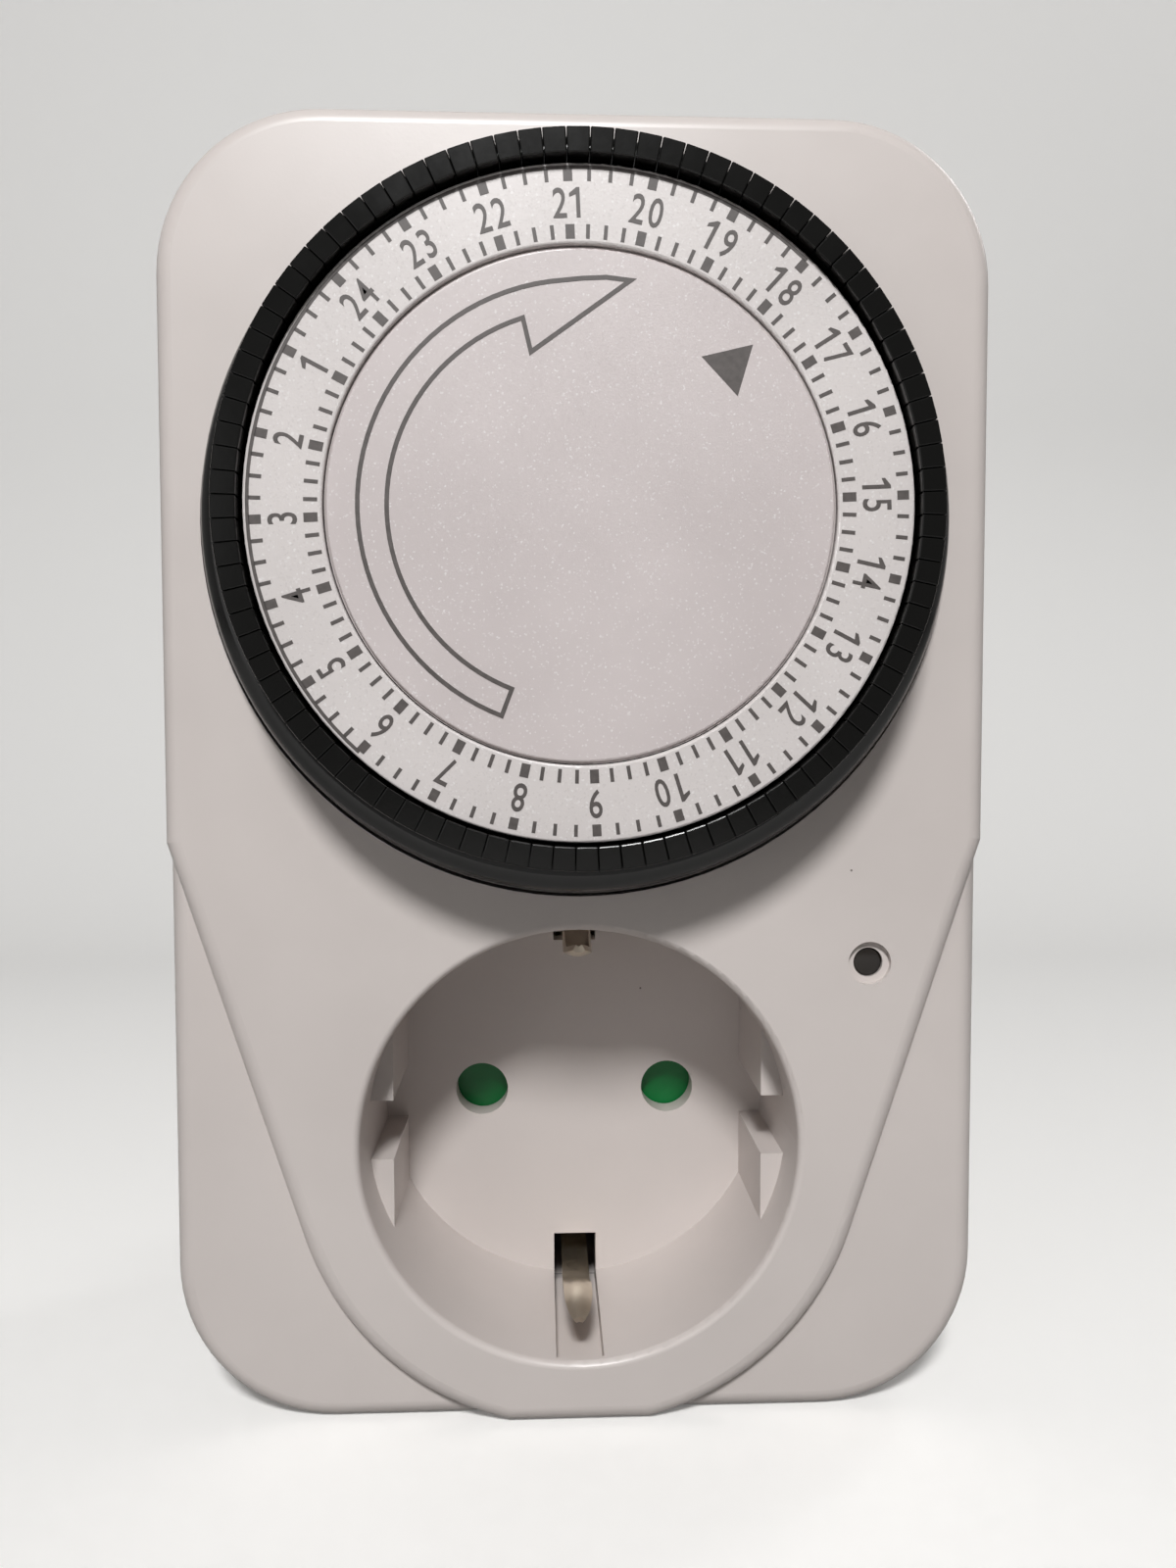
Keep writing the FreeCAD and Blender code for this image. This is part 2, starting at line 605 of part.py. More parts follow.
# Front shell
def draw_contour(sketch, inset):
    """The raised front: the case's outline above, the leaning lines and the arc below."""
    half, low, high = half_width - inset, -case_below + inset, case_above - inset
    arc_radius, corner = contour_radius - inset, case_corner - inset
    lean = math.radians(contour_lean.number)
    a, b, c, r = half.number, low.number, high.number, corner.number
    bend = (arc_radius.number * math.cos(lean), -arc_radius.number * math.sin(lean))
    side = bend[1] + (a - bend[0]) / math.tan(lean)
    chord = math.sqrt(max(arc_radius.number ** 2 - b ** 2, 0.01))
    foot = math.atan2(b, chord)
    round_below = Part.Circle(Vector(0, 0, 0), Vector(0, 0, 1), arc_radius.number)
    add = sketch.addGeometry
    bottom = add(Part.LineSegment(Vector(-chord, b, 0), Vector(chord, b, 0)))
    arc_right = add(Part.ArcOfCircle(round_below, foot, -lean))
    lean_right = add(Part.LineSegment(Vector(*bend, 0), Vector(a, side, 0)))
    right = add(Part.LineSegment(Vector(a, side, 0), Vector(a, c - r, 0)))
    corner_right = Part.Circle(Vector(a - r, c - r, 0), Vector(0, 0, 1), r)
    corner_right = add(Part.ArcOfCircle(corner_right, 0, math.pi / 2))
    top = add(Part.LineSegment(Vector(a - r, c, 0), Vector(-a + r, c, 0)))
    corner_left = Part.Circle(Vector(-a + r, c - r, 0), Vector(0, 0, 1), r)
    corner_left = add(Part.ArcOfCircle(corner_left, math.pi / 2, math.pi))
    left = add(Part.LineSegment(Vector(-a, c - r, 0), Vector(-a, side, 0)))
    lean_left = add(Part.LineSegment(Vector(-a, side, 0), Vector(-bend[0], bend[1], 0)))
    arc_left = add(Part.ArcOfCircle(round_below, math.pi + lean, math.pi - foot))
    rule = Sketcher.Constraint
    meets = [(bottom, 2, arc_right, 1), (lean_right, 2, right, 1), (left, 2, lean_left, 1),
             (arc_left, 2, bottom, 1)]
    smooth = [(arc_right, 2, lean_right, 1), (right, 2, corner_right, 1), (corner_right, 2, top, 1),
              (top, 2, corner_left, 1), (corner_left, 2, left, 1), (lean_left, 2, arc_left, 1)]
    sketch.addConstraint([rule("Coincident", *pair) for pair in meets])
    sketch.addConstraint([rule("Tangent", *pair) for pair in smooth])
    sketch.addConstraint([rule("Coincident", arc_right, 3, -1, 1), rule("Coincident", arc_left, 3, -1, 1)])
    sketch.addConstraint([rule("Horizontal", bottom), rule("Horizontal", top)])
    sketch.addConstraint([rule("Vertical", left), rule("Vertical", right)])
    sketch.addConstraint([rule("Equal", corner_right, corner_left), rule("Equal", arc_right, arc_left)])
    dimension(sketch, rule("Radius", corner_right, r), corner)
    dimension(sketch, rule("Radius", arc_right, arc_radius.number), arc_radius)
    hold(sketch, "DistanceX", right, 1, half)
    hold(sketch, "DistanceX", left, 1, -half)
    hold(sketch, "DistanceY", bottom, 1, low)
    hold(sketch, "DistanceY", top, 1, high)
    hold(sketch, "DistanceX", lean_right, 1, arc_radius * cosine(contour_lean))
    hold(sketch, "DistanceX", lean_left, 2, -(arc_radius * cosine(contour_lean)))


def make_front_case():
    body = new_body("front_case")
    sketch = new_sketch(body, "front_outline", seam)
    draw_rounded(sketch, half_width, -case_below, case_above, case_corner)
    grow(body, sketch, low_front - seam)
    round_edges(body, "front_low_edge", case_edge, lambda edge: at_level(edge, low_front))
    sketch = new_sketch(body, "front_contour", seam)
    draw_contour(sketch, as_size(0))
    grow(body, sketch, front - seam)
    round_edges(body, "front_raised_edge", case_edge, lambda edge: at_level(edge, front))
    inner_face = low_front - case_wall
    sketch = new_sketch(body, "front_cavity", inner_face)
    draw_rounded(sketch, half_width - case_wall, case_wall - case_below, case_above - case_wall,
                 case_corner - case_wall)
    sink(body, sketch, inner_face - seam)
    sketch = new_sketch(body, "front_contour_cavity", front - case_wall)
    draw_contour(sketch, case_wall)
    sink(body, sketch, step_height)
    rebate = case_wall - lip_wall - snug
    sketch = new_sketch(body, "front_rebate", seam + lip_height + snug)
    draw_rounded(sketch, half_width - rebate, rebate - case_below, case_above - rebate,
                 case_corner - rebate)
    sink(body, sketch, lip_height + snug)

    # Recess of the socket with its slots, then the collar of the dial and the bosses
    fill = front - case_wall / 2
    cup_radius = recess_radius + recess_wall
    add_discs(body, "front_cup", cup_radius, floor_back, fill)
    slot_half = slot_width / 2
    slot_back = slot_outer + slot_wall
    add_blocks(body, "front_slot_walls", floor_back, fill,
               (-slot_half - slot_wall, slot_half + slot_wall, -slot_back, slot_back))
    dial_place = [(as_size(0), dial_up)]
    add_discs(body, "front_collar", well_radius + well_collar, front - well_depth, fill, dial_place)
    add_discs(body, "front_upper_bosses", screw_boss, chassis_top, fill, upper_places)
    add_discs(body, "front_lower_bosses", screw_boss, seam, low_front - case_wall / 2, lower_places)
    add_discs(body, "front_fixing_bosses", screw_boss, chassis_top, fill, fixing_places)
    lamp_place = [(lamp_x, lamp_up)]
    sleeve_radius = lamp_radius + snug + lamp_sleeve
    add_discs(body, "front_lamp_sleeve", sleeve_radius, front - case_wall - lamp_length, fill, lamp_place)
    cut_discs(body, "front_well", well_radius, front + case_wall, front - well_depth, dial_place)
    cut_discs(body, "front_recess", recess_radius, front + case_wall, front - guide_start)
    sketch = new_sketch(body, "front_guides", front - guide_start)
    draw_band(sketch, guide_reach, recess_radius, True)
    sink(body, sketch, recess_depth - guide_start)
    sketch = new_sketch(body, "front_guide_grooves", front - guide_start)
    draw_band(sketch, groove_width / 2, recess_radius, False)
    sink(body, sketch, recess_depth - guide_start)

    def on_rim(edge):
        return at_level(edge, front) and edge.Curve.TypeId == "Part::GeomCircle" \
            and abs(edge.Curve.Radius - recess_radius.number) < 1e-3

    round_edges(body, "front_rim", recess_rim, on_rim)
    slot_inner = recess_radius - slot_inside
    cut_blocks(body, "front_slots", front - slot_start, floor_back,
               (-slot_half, slot_half, slot_inner, slot_outer),
               (-slot_half, slot_half, -slot_outer, -slot_inner))
    cut_discs(body, "front_pin_holes", hole_radius, recess_floor, floor_back, pin_places)
    cut_discs(body, "front_lamp_seat", lamp_radius + snug, front - case_wall,
              front - case_wall - lamp_length, lamp_place)
    cut_discs(body, "front_lamp_hole", lamp_hole, front, front - case_wall, lamp_place)
    cut_discs(body, "front_lamp_dish", lamp_dish, front, front - lamp_dish_depth, lamp_place)
    pilot = screw_radius + running
    upper_end = upper_seat + screw_length + snug
    lower_end = lower_seat + screw_length + snug
    cut_discs(body, "front_upper_pilots", pilot, upper_end, chassis_top, upper_places)
    cut_discs(body, "front_lower_pilots", pilot, lower_end, seam, lower_places)
    fixing_end = chassis_back + fixing_length + snug
    cut_discs(body, "front_fixing_pilots", fixing_radius + running, fixing_end, chassis_top, fixing_places)
    add_discs(body, "front_shutter_post", shutter_pivot, cover_back, floor_back + floor_wall / 2)
    standoffs = [(as_size(0), standoff_reach), (as_size(0), -standoff_reach)]
    add_discs(body, "front_standoffs", standoff_radius, cover_front, floor_back + floor_wall / 2, standoffs)

    # Slot of the override slider in the right-hand wall
    slider_level = front - slider_drop
    half_slot = slider_width / 2 + snug
    run = slider_knob / 2 + snug
    cut_blocks(body, "front_slider_slot", slider_level + half_slot, slider_level - half_slot,
               (half_width - case_wall * 2, half_width + case_wall, slider_up - run,
                slider_up + run + slider_travel))
    return keep(body, "front_case")


def make_rear_case():
    body = new_body("rear_case")
    sketch = new_sketch(body, "rear_outline", case_back)
    draw_rounded(sketch, half_width, -case_below, case_above, case_corner)
    grow(body, sketch, rear_depth)
    round_edges(body, "rear_edge", case_edge, lambda edge: at_level(edge, case_back))
    sketch = new_sketch(body, "rear_cavity", seam)
    draw_rounded(sketch, half_width - case_wall, case_wall - case_below, case_above - case_wall,
                 case_corner - case_wall)
    sink(body, sketch, rear_depth - case_wall)
    outside = case_wall - lip_wall
    sketch = new_sketch(body, "rear_lip", inner_back)
    draw_rounded(sketch, half_width - outside, outside - case_below, case_above - outside,
                 case_corner - outside)
    draw_rounded(sketch, half_width - case_wall, case_wall - case_below, case_above - case_wall,
                 case_corner - case_wall)
    grow(body, sketch, seam + lip_height - inner_back)
    head = screw_head_radius + snug
    boss = head + screw_sink_wall
    within = inner_back - case_wall / 2
    add_discs(body, "rear_lower_bosses", boss, within, seam, lower_places)
    add_discs(body, "rear_upper_bosses", boss, within, chassis_back, upper_places)
    clear = screw_radius + snug
    cut_discs(body, "rear_lower_holes", clear, seam, case_back, lower_places)
    cut_discs(body, "rear_upper_holes", clear, chassis_back, case_back, upper_places)
    cut_discs(body, "rear_lower_sinks", head, lower_seat, case_back, lower_places)
    cut_discs(body, "rear_upper_sinks", head, upper_seat, case_back, upper_places)
    cut_discs(body, "rear_plug_hole", plug_radius + snug, inner_back, case_back)
    return keep(body, "rear_case")


# Plug
def make_plug_body():
    body = new_body("plug_body")
    add_discs(body, "plug_round", plug_radius, as_size(0), flange_front)
    add_discs(body, "plug_rim", plug_radius + plug_flange_reach, inner_back, flange_front)
    round_edges(body, "plug_edge", plug_edge, lambda edge: at_level(edge, 0))
    cut_discs(body, "plug_hollow", plug_hollow, flange_front, plug_inside)
    reach = plug_radius + plug_flange_reach + case_wall
    rib = keyway_width / 2
    side = keyway_half
    cut_blocks(body, "plug_keyways", inner_back - case_wall, as_size(0),
               (plug_flat, reach, rib, side), (plug_flat, reach, -side, -rib),
               (-reach, -plug_flat, rib, side), (-reach, -plug_flat, -side, -rib))
    half = plug_clip_channel / 2
    deep = plug_clip_reach - clip_thick - plug_clip_play
    cut_blocks(body, "plug_channels", flange_front, plug_clip_start,
               (-half, half, deep, reach), (-half, half, -reach, -deep))
    cut_discs(body, "plug_pin_holes", pin_neck + running, plug_inside, as_size(0), pin_places)
    cut_discs(body, "plug_pin_seats", pin_radius + running, pin_neck_length * 2, as_size(0), pin_places)
    return keep(body, "plug_body")


def make_pin(label, x):
    body = new_body(label)
    place = [(x, as_size(0))]
    add_discs(body, label + "_shank", pin_radius, -pin_length, -pin_neck_length, place)
    round_edges(body, label + "_tip", pin_radius * end_round, lambda edge: at_level(edge, -pin_length))
    add_discs(body, label + "_neck", pin_neck, -pin_neck_length, plug_inside, place)
    add_discs(body, label + "_collar", pin_collar, plug_inside, contact_seat, place)
    add_discs(body, label + "_tail", tail_radius, contact_seat, contact_seat + tail_height, place)
    return keep(body, label)


# Bent strips of sheet metal, each drawn as a line of points on its inner face
def bent_strip(points, thick, width):
    """Sheet along a line in the plane x = 0, thickened to the left of the way it runs."""
    count = len(points)
    outer = []
    for number in range(count):
        before = points[max(number - 1, 0)]
        here = points[number]
        after = points[min(number + 1, count - 1)]
        turns = []
        for start, end in ((before, here), (here, after)):
            length = math.hypot(end[0] - start[0], end[1] - start[1])
            if length > 0:
                turns.append((-(end[1] - start[1]) / length, (end[0] - start[0]) / length))
        across = (sum(turn[0] for turn in turns), sum(turn[1] for turn in turns))
        scale = thick * len(turns) / (across[0] ** 2 + across[1] ** 2)
        outer.append((here[0] + across[0] * scale, here[1] + across[1] * scale))
    loop = [Vector(-width / 2, up, level) for up, level in points + outer[::-1]]
    face = Part.Face(Part.makePolygon(loop + loop[:1]))
    return face.extrude(Vector(width, 0, 0))


def arc_points(middle, radius, start, end, steps):
    """Points along an arc in the plane x = 0, angles in degrees from up towards the viewer."""
    found = []
    for step in range(steps + 1):
        angle = math.radians(start + (end - start) * step / steps)
        found.append((middle[0] + radius * math.cos(angle), middle[1] + radius * math.sin(angle)))
    return found


def upside_down(points):
    return [(-up, level) for up, level in points]


def make_socket_clip():
    """One spring strip behind the recess floor, its two arms rising through the slots."""
    seat, bulge = socket_clip_seat.number, socket_clip_bulge.number
    base = clip_base.number
    tip = front.number - socket_clip_tip.number
    bend = clip_thick.number * 2
    bulge_low = recess_floor.number + (tip - recess_floor.number) * bulge_start
    bulge_high = recess_floor.number + (tip - recess_floor.number) * bulge_peak
    inside = seat - clip_thick.number
    corner = arc_points((inside - bend, base + bend), bend, -90, 0, bend_steps)
    swell = []
    for step in range(bulge_steps + 1):
        level = bulge_low + (tip - bulge_low) * step / bulge_steps
        reach = (level - bulge_low) / (bulge_high - bulge_low)
        lean = math.sin(min(reach, 1.0) * math.pi / 2) ** 2
        if reach > 1.0:
            lean = math.cos((reach - 1.0) * bulge_fall) ** 2
        swell.append((inside - bulge * lean, level))
    arm = corner + swell
    whole = upside_down(arm)[::-1] + arm
    strip = bent_strip(whole[::-1], clip_thick.number, socket_clip_width.number)
    return keep_shape("socket_earth_clip", strip)


def make_plug_clip():
    """One spring strip over the plug's flange, its two arms lying in the plug's channels."""
    inside = plug_clip_reach.number - clip_thick.number
    base, bend = flange_front.number, plug_clip_play.number
    tip = plug_clip_start.number + plug_clip_play.number
    inward = plug_clip_play.number - snug.number
    arm = [(inside - inward, tip), (inside, tip + inward * 2), (inside, base - bend)]
    arm += arc_points((inside - bend, base - bend), bend, 0, 90, bend_steps)[1:]
    whole = upside_down(arm) + arm[::-1]
    strip = bent_strip(whole, clip_thick.number, plug_clip_width.number)
    return keep_shape("plug_earth_clip", strip)


def make_earth_post():
    body = new_body("earth_post")
    add_discs(body, "earth_post_round", earth_post_radius, flange_front + clip_thick,
              clip_base - clip_thick)
    return keep(body, "earth_post")


# Socket contacts and the strips that carry the current
def make_grip(label, x, back):
    """A tulip contact: a base on the pin's tail and two leaves that grip the mating pin."""
    wide, narrow = grip_base.number / 2, grip_gap.number / 2
    mouth = clip_base.number
    flare = (mouth - grip_straight.number) * flare_share
    arm = [(wide, back), (wide, grip_straight.number), (narrow, mouth - flare),
           (narrow + clip_thick.number, mouth)]
    whole = arm[::-1] + upside_down(arm)
    thick = strip_thick.number
    strip = bent_strip([(up, level + thick) if level == back else (up, level) for up, level in whole],
                       thick, grip_width.number)
    strip.rotate(Vector(0, 0, 0), Vector(0, 0, 1), 90)
    strip.translate(Vector(float(x), 0, 0))
    strip = strip.cut(disc(tail_radius + snug, back - thick, back + 2 * thick, x))
    return keep_shape(label, strip)


def make_spacer():
    body = new_body("contact_spacer")
    reach = grip_base / 2 + strip_thick
    low = contact_seat + strip_thick
    add_blocks(body, "spacer_block", low, low + spacer_height,
               (pin_x - reach, pin_x + reach, -grip_width / 2, grip_width / 2))
    cut_discs(body, "spacer_hole", tail_radius + snug, low + spacer_height, low, [(pin_x, as_size(0))])
    return keep(body, "contact_spacer")


def make_live_feed():
    """From the live pin up behind the chassis to the moving contact."""
    thick = strip_thick
    left = pin_x - strip_width / 2
    right = left + strip_width
    away = nose_x - strip_width / 2
    riser = feed_riser
    level = contact_seat
    parts = [
        block(pin_x - tail_pad, pin_x + tail_pad, -tail_pad, tail_pad, level, level + thick),
        block(left, right, tail_pad - thick, riser, level, level + thick),
        block(left, right, riser - thick, riser, level, feed_level + thick),
        block(left, right, riser - thick, leaf_foot, feed_level, feed_level + thick),
        block(left, away + strip_width, leaf_foot - strip_width, leaf_foot, feed_level, feed_level + thick),
        block(away, away + strip_width, leaf_foot - thick, leaf_foot, feed_level, leaf_level),
    ]
    strip = parts[0].multiFuse(parts[1:]).removeSplitter()
    strip = strip.cut(disc(tail_radius + snug, level, level + thick, pin_x))
    return keep_shape("live_feed_strip", strip)


def make_live_return():
    """From the fixed contact back down to the live side of the socket."""
    thick = strip_thick
    left = return_x
    right = left + strip_width
    end = pin_x + grip_base / 2 + thick
    half = strip_width / 2
    top = fixed_low + strip_width
    parts = [
        block(right - thick, right, fixed_low, top, return_level, chassis_top + fixed_foot),
        block(left, right, -half, top, return_level, return_level + thick),
        block(end, right, -half, half, return_level, return_level + thick),
    ]
    return keep_shape("live_return_strip", parts[0].multiFuse(parts[1:]).removeSplitter())


def make_moving_contact():
    body = new_body("moving_contact")
    left = nose_x - strip_width / 2
    add_blocks(body, "moving_leaf", leaf_level, leaf_level + leaf_thick,
               (left, left + strip_width, leaf_foot - leaf_seat, leaf_end))
    rivet = [(nose_x, fixed_low + strip_width / 2)]
    add_discs(body, "moving_rivet", rivet_radius, leaf_level, leaf_level + leaf_thick + rivet_height, rivet)
    return keep(body, "moving_contact")


def make_fixed_contact():
    body = new_body("fixed_contact")
    left = nose_x - strip_width / 2
    right = return_x + strip_width
    level = fixed_level
    add_blocks(body, "fixed_arm", level, level + strip_thick,
               (left, right, fixed_low, fixed_low + strip_width))
    add_blocks(body, "fixed_leg", chassis_top + fixed_foot, level + strip_thick,
               (right - strip_thick, right, fixed_low, fixed_low + strip_width))
    rivet = [(nose_x, fixed_low + strip_width / 2)]
    add_discs(body, "fixed_rivet", rivet_radius, level - rivet_height, level + strip_thick / 2, rivet)
    return keep(body, "fixed_contact")


# Shutter
def make_shutter():
    body = new_body("shutter")
    add_discs(body, "shutter_hub_disc", shutter_hub, shutter_back, shutter_front)
    add_blocks(body, "shutter_arms", shutter_back, shutter_front,
               (-shutter_arm, shutter_arm, -shutter_half, shutter_half))
    cut_discs(body, "shutter_bore", shutter_pivot + running, shutter_front, shutter_back)
    return keep(body, "shutter")


def make_shutter_spring():
    """One turn of wire round the post with two short legs."""
    wire = (cover_front.number - shutter_back.number) * -0.5 - running.number
    middle = (cover_front.number + shutter_back.number) / 2
    turn = shutter_pivot.number + wire + running.number * 2
    ring = Part.makeTorus(turn, wire, Vector(0, 0, middle))
    leg = Part.makeCylinder(wire, turn * 2, Vector(turn, 0, middle), Vector(0, 1, 0))
    other = Part.makeCylinder(wire, turn * 2, Vector(-turn, 0, middle), Vector(0, -1, 0))
    return keep_shape("shutter_spring", ring.multiFuse([leg, other]))


def make_shutter_cover():
    body = new_body("shutter_cover")
    add_blocks(body, "cover_plate", cover_back, cover_front,
               (-cover_half_width, cover_half_width, -cover_half_height, cover_half_height))
    cut_discs(body, "cover_bore", shutter_pivot + running, cover_front, cover_back)
    cut_discs(body, "cover_pin_holes", hole_radius + running, cover_front, cover_back, pin_places)
    return keep(body, "shutter_cover")


# Lamp
def make_lamp():
    body = new_body("neon_lamp")
    place = [(lamp_x, lamp_up)]
    nose = front - case_wall - loose
    glass_back = front - case_wall - lamp_length + loose
    add_discs(body, "lamp_glass", lamp_radius, glass_back, nose, place)
    round_edges(body, "lamp_nose", lamp_radius * end_round, lambda edge: at_level(edge, nose))
    leads = [(lamp_x - lamp_lead_gap / 2, lamp_up), (lamp_x + lamp_lead_gap / 2, lamp_up)]
    lead_back = glass_back - lamp_lead_length
    add_discs(body, "lamp_leads", lamp_lead_radius, lead_back, glass_back + loose, leads)
    return keep(body, "neon_lamp")


def make_resistor():
    body = new_body("lamp_resistor")
    place = [(lamp_x + lamp_lead_gap / 2, lamp_up)]
    end = front - case_wall - lamp_length + loose - lamp_lead_length
    add_discs(body, "resistor_body", resistor_radius, end - resistor_length, end, place)
    round_edges(body, "resistor_ends", resistor_radius * end_round,
                lambda edge: at_level(edge, end) or at_level(edge, end - resistor_length))
    return keep(body, "lamp_resistor")


# Chassis and motor
def make_chassis():
    body = new_body("chassis")
    inset = case_wall + chassis_gap
    sketch = new_sketch(body, "chassis_outline", chassis_back)
    draw_rounded(sketch, half_width - inset, chassis_bottom, case_above - inset, case_corner - inset)
    grow(body, sketch, chassis_thick)
    middle = [(as_size(0), dial_up)]
    within = chassis_back + chassis_thick / 2
    add_discs(body, "chassis_collar", post_collar, within, chassis_top + post_collar_height, middle)
    add_discs(body, "chassis_post", post_radius, within, post_front, middle)
    near = lever_width / 2 + loose
    ear_top = gear_back - loose
    half = lever_pin_radius + lever_ear
    add_blocks(body, "chassis_ears", within, ear_top,
               (nose_x - near - lever_ear, nose_x - near, lever_up - half, lever_up + half),
               (nose_x + near, nose_x + near + lever_ear, lever_up - half, lever_up + half))
    left = nose_x - strip_width / 2
    block_top = leaf_foot - strip_thick - snug
    add_blocks(body, "chassis_leaf_block", within, leaf_level,
               (left, left + strip_width, leaf_foot - leaf_seat - strip_thick, block_top))
    bore_end = post_front - stub_length - loose
    cut_discs(body, "chassis_bore", stub_radius + running, post_front, bore_end, middle)
    cut_discs(body, "chassis_screw_holes", screw_radius + snug, chassis_top, chassis_back, upper_places)
    cut_discs(body, "chassis_fixing_holes", fixing_radius + snug, chassis_top, chassis_back, fixing_places)
    cut_discs(body, "chassis_motor_hole", pinion_tip + loose, chassis_top, chassis_back, [motor_spot])
    cut_discs(body, "chassis_arbor_holes", arbor_radius, chassis_top, chassis_back,
              [second_spot, first_spot])
    right = return_x + strip_width
    cut_blocks(body, "chassis_slots", chassis_top, chassis_back,
               (left - snug, left + strip_width + snug, block_top, leaf_foot + snug),
               (right - strip_thick - snug, right + snug, fixed_low - snug, fixed_low + strip_width + snug))
    sketch = new_sketch(body, "chassis_pin_hole", as_size(0), "YZ_Plane")
    draw_circle(sketch, lever_pin_radius, lever_up, lever_level)
    feature = body.newObject("PartDesign::Pocket", "chassis_pin_hole_pocket")
    feature.Profile = sketch
    feature.Reversed = True
    bind(feature, "Length", half_width)
    body.Tip = feature
    return keep(body, "chassis")


def make_motor():
    body = new_body("motor_case")
    middle = [(as_size(0), dial_up + motor_above)]
    back = chassis_back - motor_length
    add_discs(body, "motor_can", motor_radius, back, chassis_back, middle)
    round_edges(body, "motor_rim", case_edge / 2, lambda edge: at_level(edge, back))
    cut_discs(body, "motor_bearing", arbor_radius + running, chassis_back, chassis_back - motor_shaft_inset,
              [motor_spot])
    return keep(body, "motor_case")


# Gears
def gear_wire(teeth, phase):
    """Outline of a spur gear with a tooth centred at phase, in degrees."""
    module, pressure = module_size.number, math.radians(pressure_angle.number)
    pitch = module * teeth / 2
    tip, foot = pitch + tooth_rise * module, pitch - tooth_drop * module
    base = pitch * math.cos(pressure)

    def involute(angle):
        return math.tan(angle) - angle

    half_pitch = math.pi / (2 * teeth) - backlash.number / (2 * pitch)
    start = max(base, foot)
    radii = [foot] if foot < base else []
    radii += [start + (tip - start) * share for share in flank_shares]
    flank = []
    for radius in radii:
        angle = math.acos(min(base / max(radius, base), 1.0))
        flank.append((radius, half_pitch + involute(pressure) - involute(angle)))
    points = []
    for tooth in range(int(teeth)):
        middle = math.radians(phase) + 2 * math.pi * tooth / teeth
        for radius, half in flank:
            points.append((radius * math.cos(middle - half), radius * math.sin(middle - half)))
        for radius, half in flank[::-1]:
            points.append((radius * math.cos(middle + half), radius * math.sin(middle + half)))
    return outline(points)


def mesh_phase(bearing, driver_teeth, driver_phase, teeth):
    """Phase of a gear whose gap meets the driver's tooth, with the gear at a bearing from it."""
    turned = (driver_phase - bearing) * driver_teeth / teeth
    return bearing + 180 + 180 / teeth - turned


def make_gear(label, spot, levels, wheel_phase, pinion_phase):
    """A wheel and its pinion on one hub, on its own arbor."""
    wheel_back, pinion_back, pinion_front = levels
    bore = float(arbor_radius + running)
    hole = [ring_wire(bore)]
    hub_back_level = chassis_top.number + snug.number
    wheel = extrude(gear_wire(int(wheel_teeth.number), wheel_phase), wheel_back, pinion_back, hole)
    pinion = extrude(gear_wire(int(pinion_teeth.number), pinion_phase), pinion_back, pinion_front, hole)
    hub = disc(gear_hub_radius, hub_back_level, wheel_back).cut(disc(bore, hub_back_level, wheel_back))
    place = TO_ROW.multiply(Placement(Vector(float(spot[0]), float(spot[1]), 0), Rotation()))
    return keep_shape(label, wheel.multiFuse([pinion, hub]), place)


def make_arbor(label, spot, end):
    body = new_body(label)
    add_discs(body, label + "_rod", arbor_radius, chassis_back, end, [spot])
    return keep(body, label)


def make_motor_pinion(phase):
    teeth = extrude(gear_wire(int(pinion_teeth.number), phase), motor_pinion_back, motor_pinion_front)
    shaft = disc(arbor_radius, chassis_back - motor_shaft_inset + loose, motor_pinion_back)
    place = TO_ROW.multiply(Placement(Vector(float(motor_spot[0]), float(motor_spot[1]), 0), Rotation()))
    return keep_shape("motor_pinion", teeth.fuse(shaft), place)


# Dial
def segment_angle(hour, quarter):
    """Degrees clockwise from the top to the middle of a quarter hour."""
    step = 360 / segment_count.number
    return hour_zero.number - (hour * segments_per_hour + quarter + 0.5) * step


def make_dial_drum():
    """Hub, web, two walls, teeth, the cage of the segments and the skirt in one moulding."""
    overlap = drum_wall.number / 3
    bore = float(post_radius + running)
    inner, outer = ring_inner.number, cage_inner.number
    wall, web = drum_wall.number, float(web_back)
    hub_front = float(post_front - loose)
    profile = [(bore, float(hub_back)), (float(hub_radius), float(hub_back)), (float(hub_radius), web),
               (outer, web), (outer, float(ring_back)), (outer - wall, float(ring_back)),
               (outer - wall, float(front)), (inner + wall, float(front)),
               (inner + wall, float(ring_back)), (inner, float(ring_back)), (inner, float(front)),
               (float(hub_radius), float(front)), (float(hub_radius), hub_front), (bore, hub_front)]
    corners = [Vector(radius, 0, level) for radius, level in profile]
    face = Part.Face(Part.makePolygon(corners + corners[:1]))
    drum = face.revolve(Vector(0, 0, 0), Vector(0, 0, 1), 360)
    root_radius = module_size.number * (dial_teeth.number / 2 - tooth_drop)
    teeth = extrude(gear_wire(int(dial_teeth.number), dial_phase), gear_back, web + overlap,
                    [ring_wire(root_radius - drum_wall * 2)])
    pockets = []
    for hour in range(hours_round):
        for quarter in range(segments_per_hour):
            angle = segment_angle(hour, quarter)
            pockets.append(turned_wire(pocket_points(), angle))
    cage = extrude(ring_wire(cage_outer), cage_low, cage_high, [ring_wire(outer - overlap), *pockets])
    skirt_low, skirt_high = float(front - skirt_bottom), float(front + skirt_top)
    edge = overlap
    reach, near = float(skirt_radius), float(cage_outer) - overlap
    skirt_profile = [(near, skirt_low), (reach, skirt_low), (reach, skirt_high - edge),
                     (reach - edge, skirt_high), (near, skirt_high + edge)]
    corners = [Vector(radius, 0, level) for radius, level in skirt_profile]
    face = Part.Face(Part.makePolygon(corners + corners[:1]))
    skirt = face.revolve(Vector(0, 0, 0), Vector(0, 0, 1), 360)
    return keep_shape("dial_drum", drum.multiFuse([teeth, cage, skirt]), AT_DIAL)


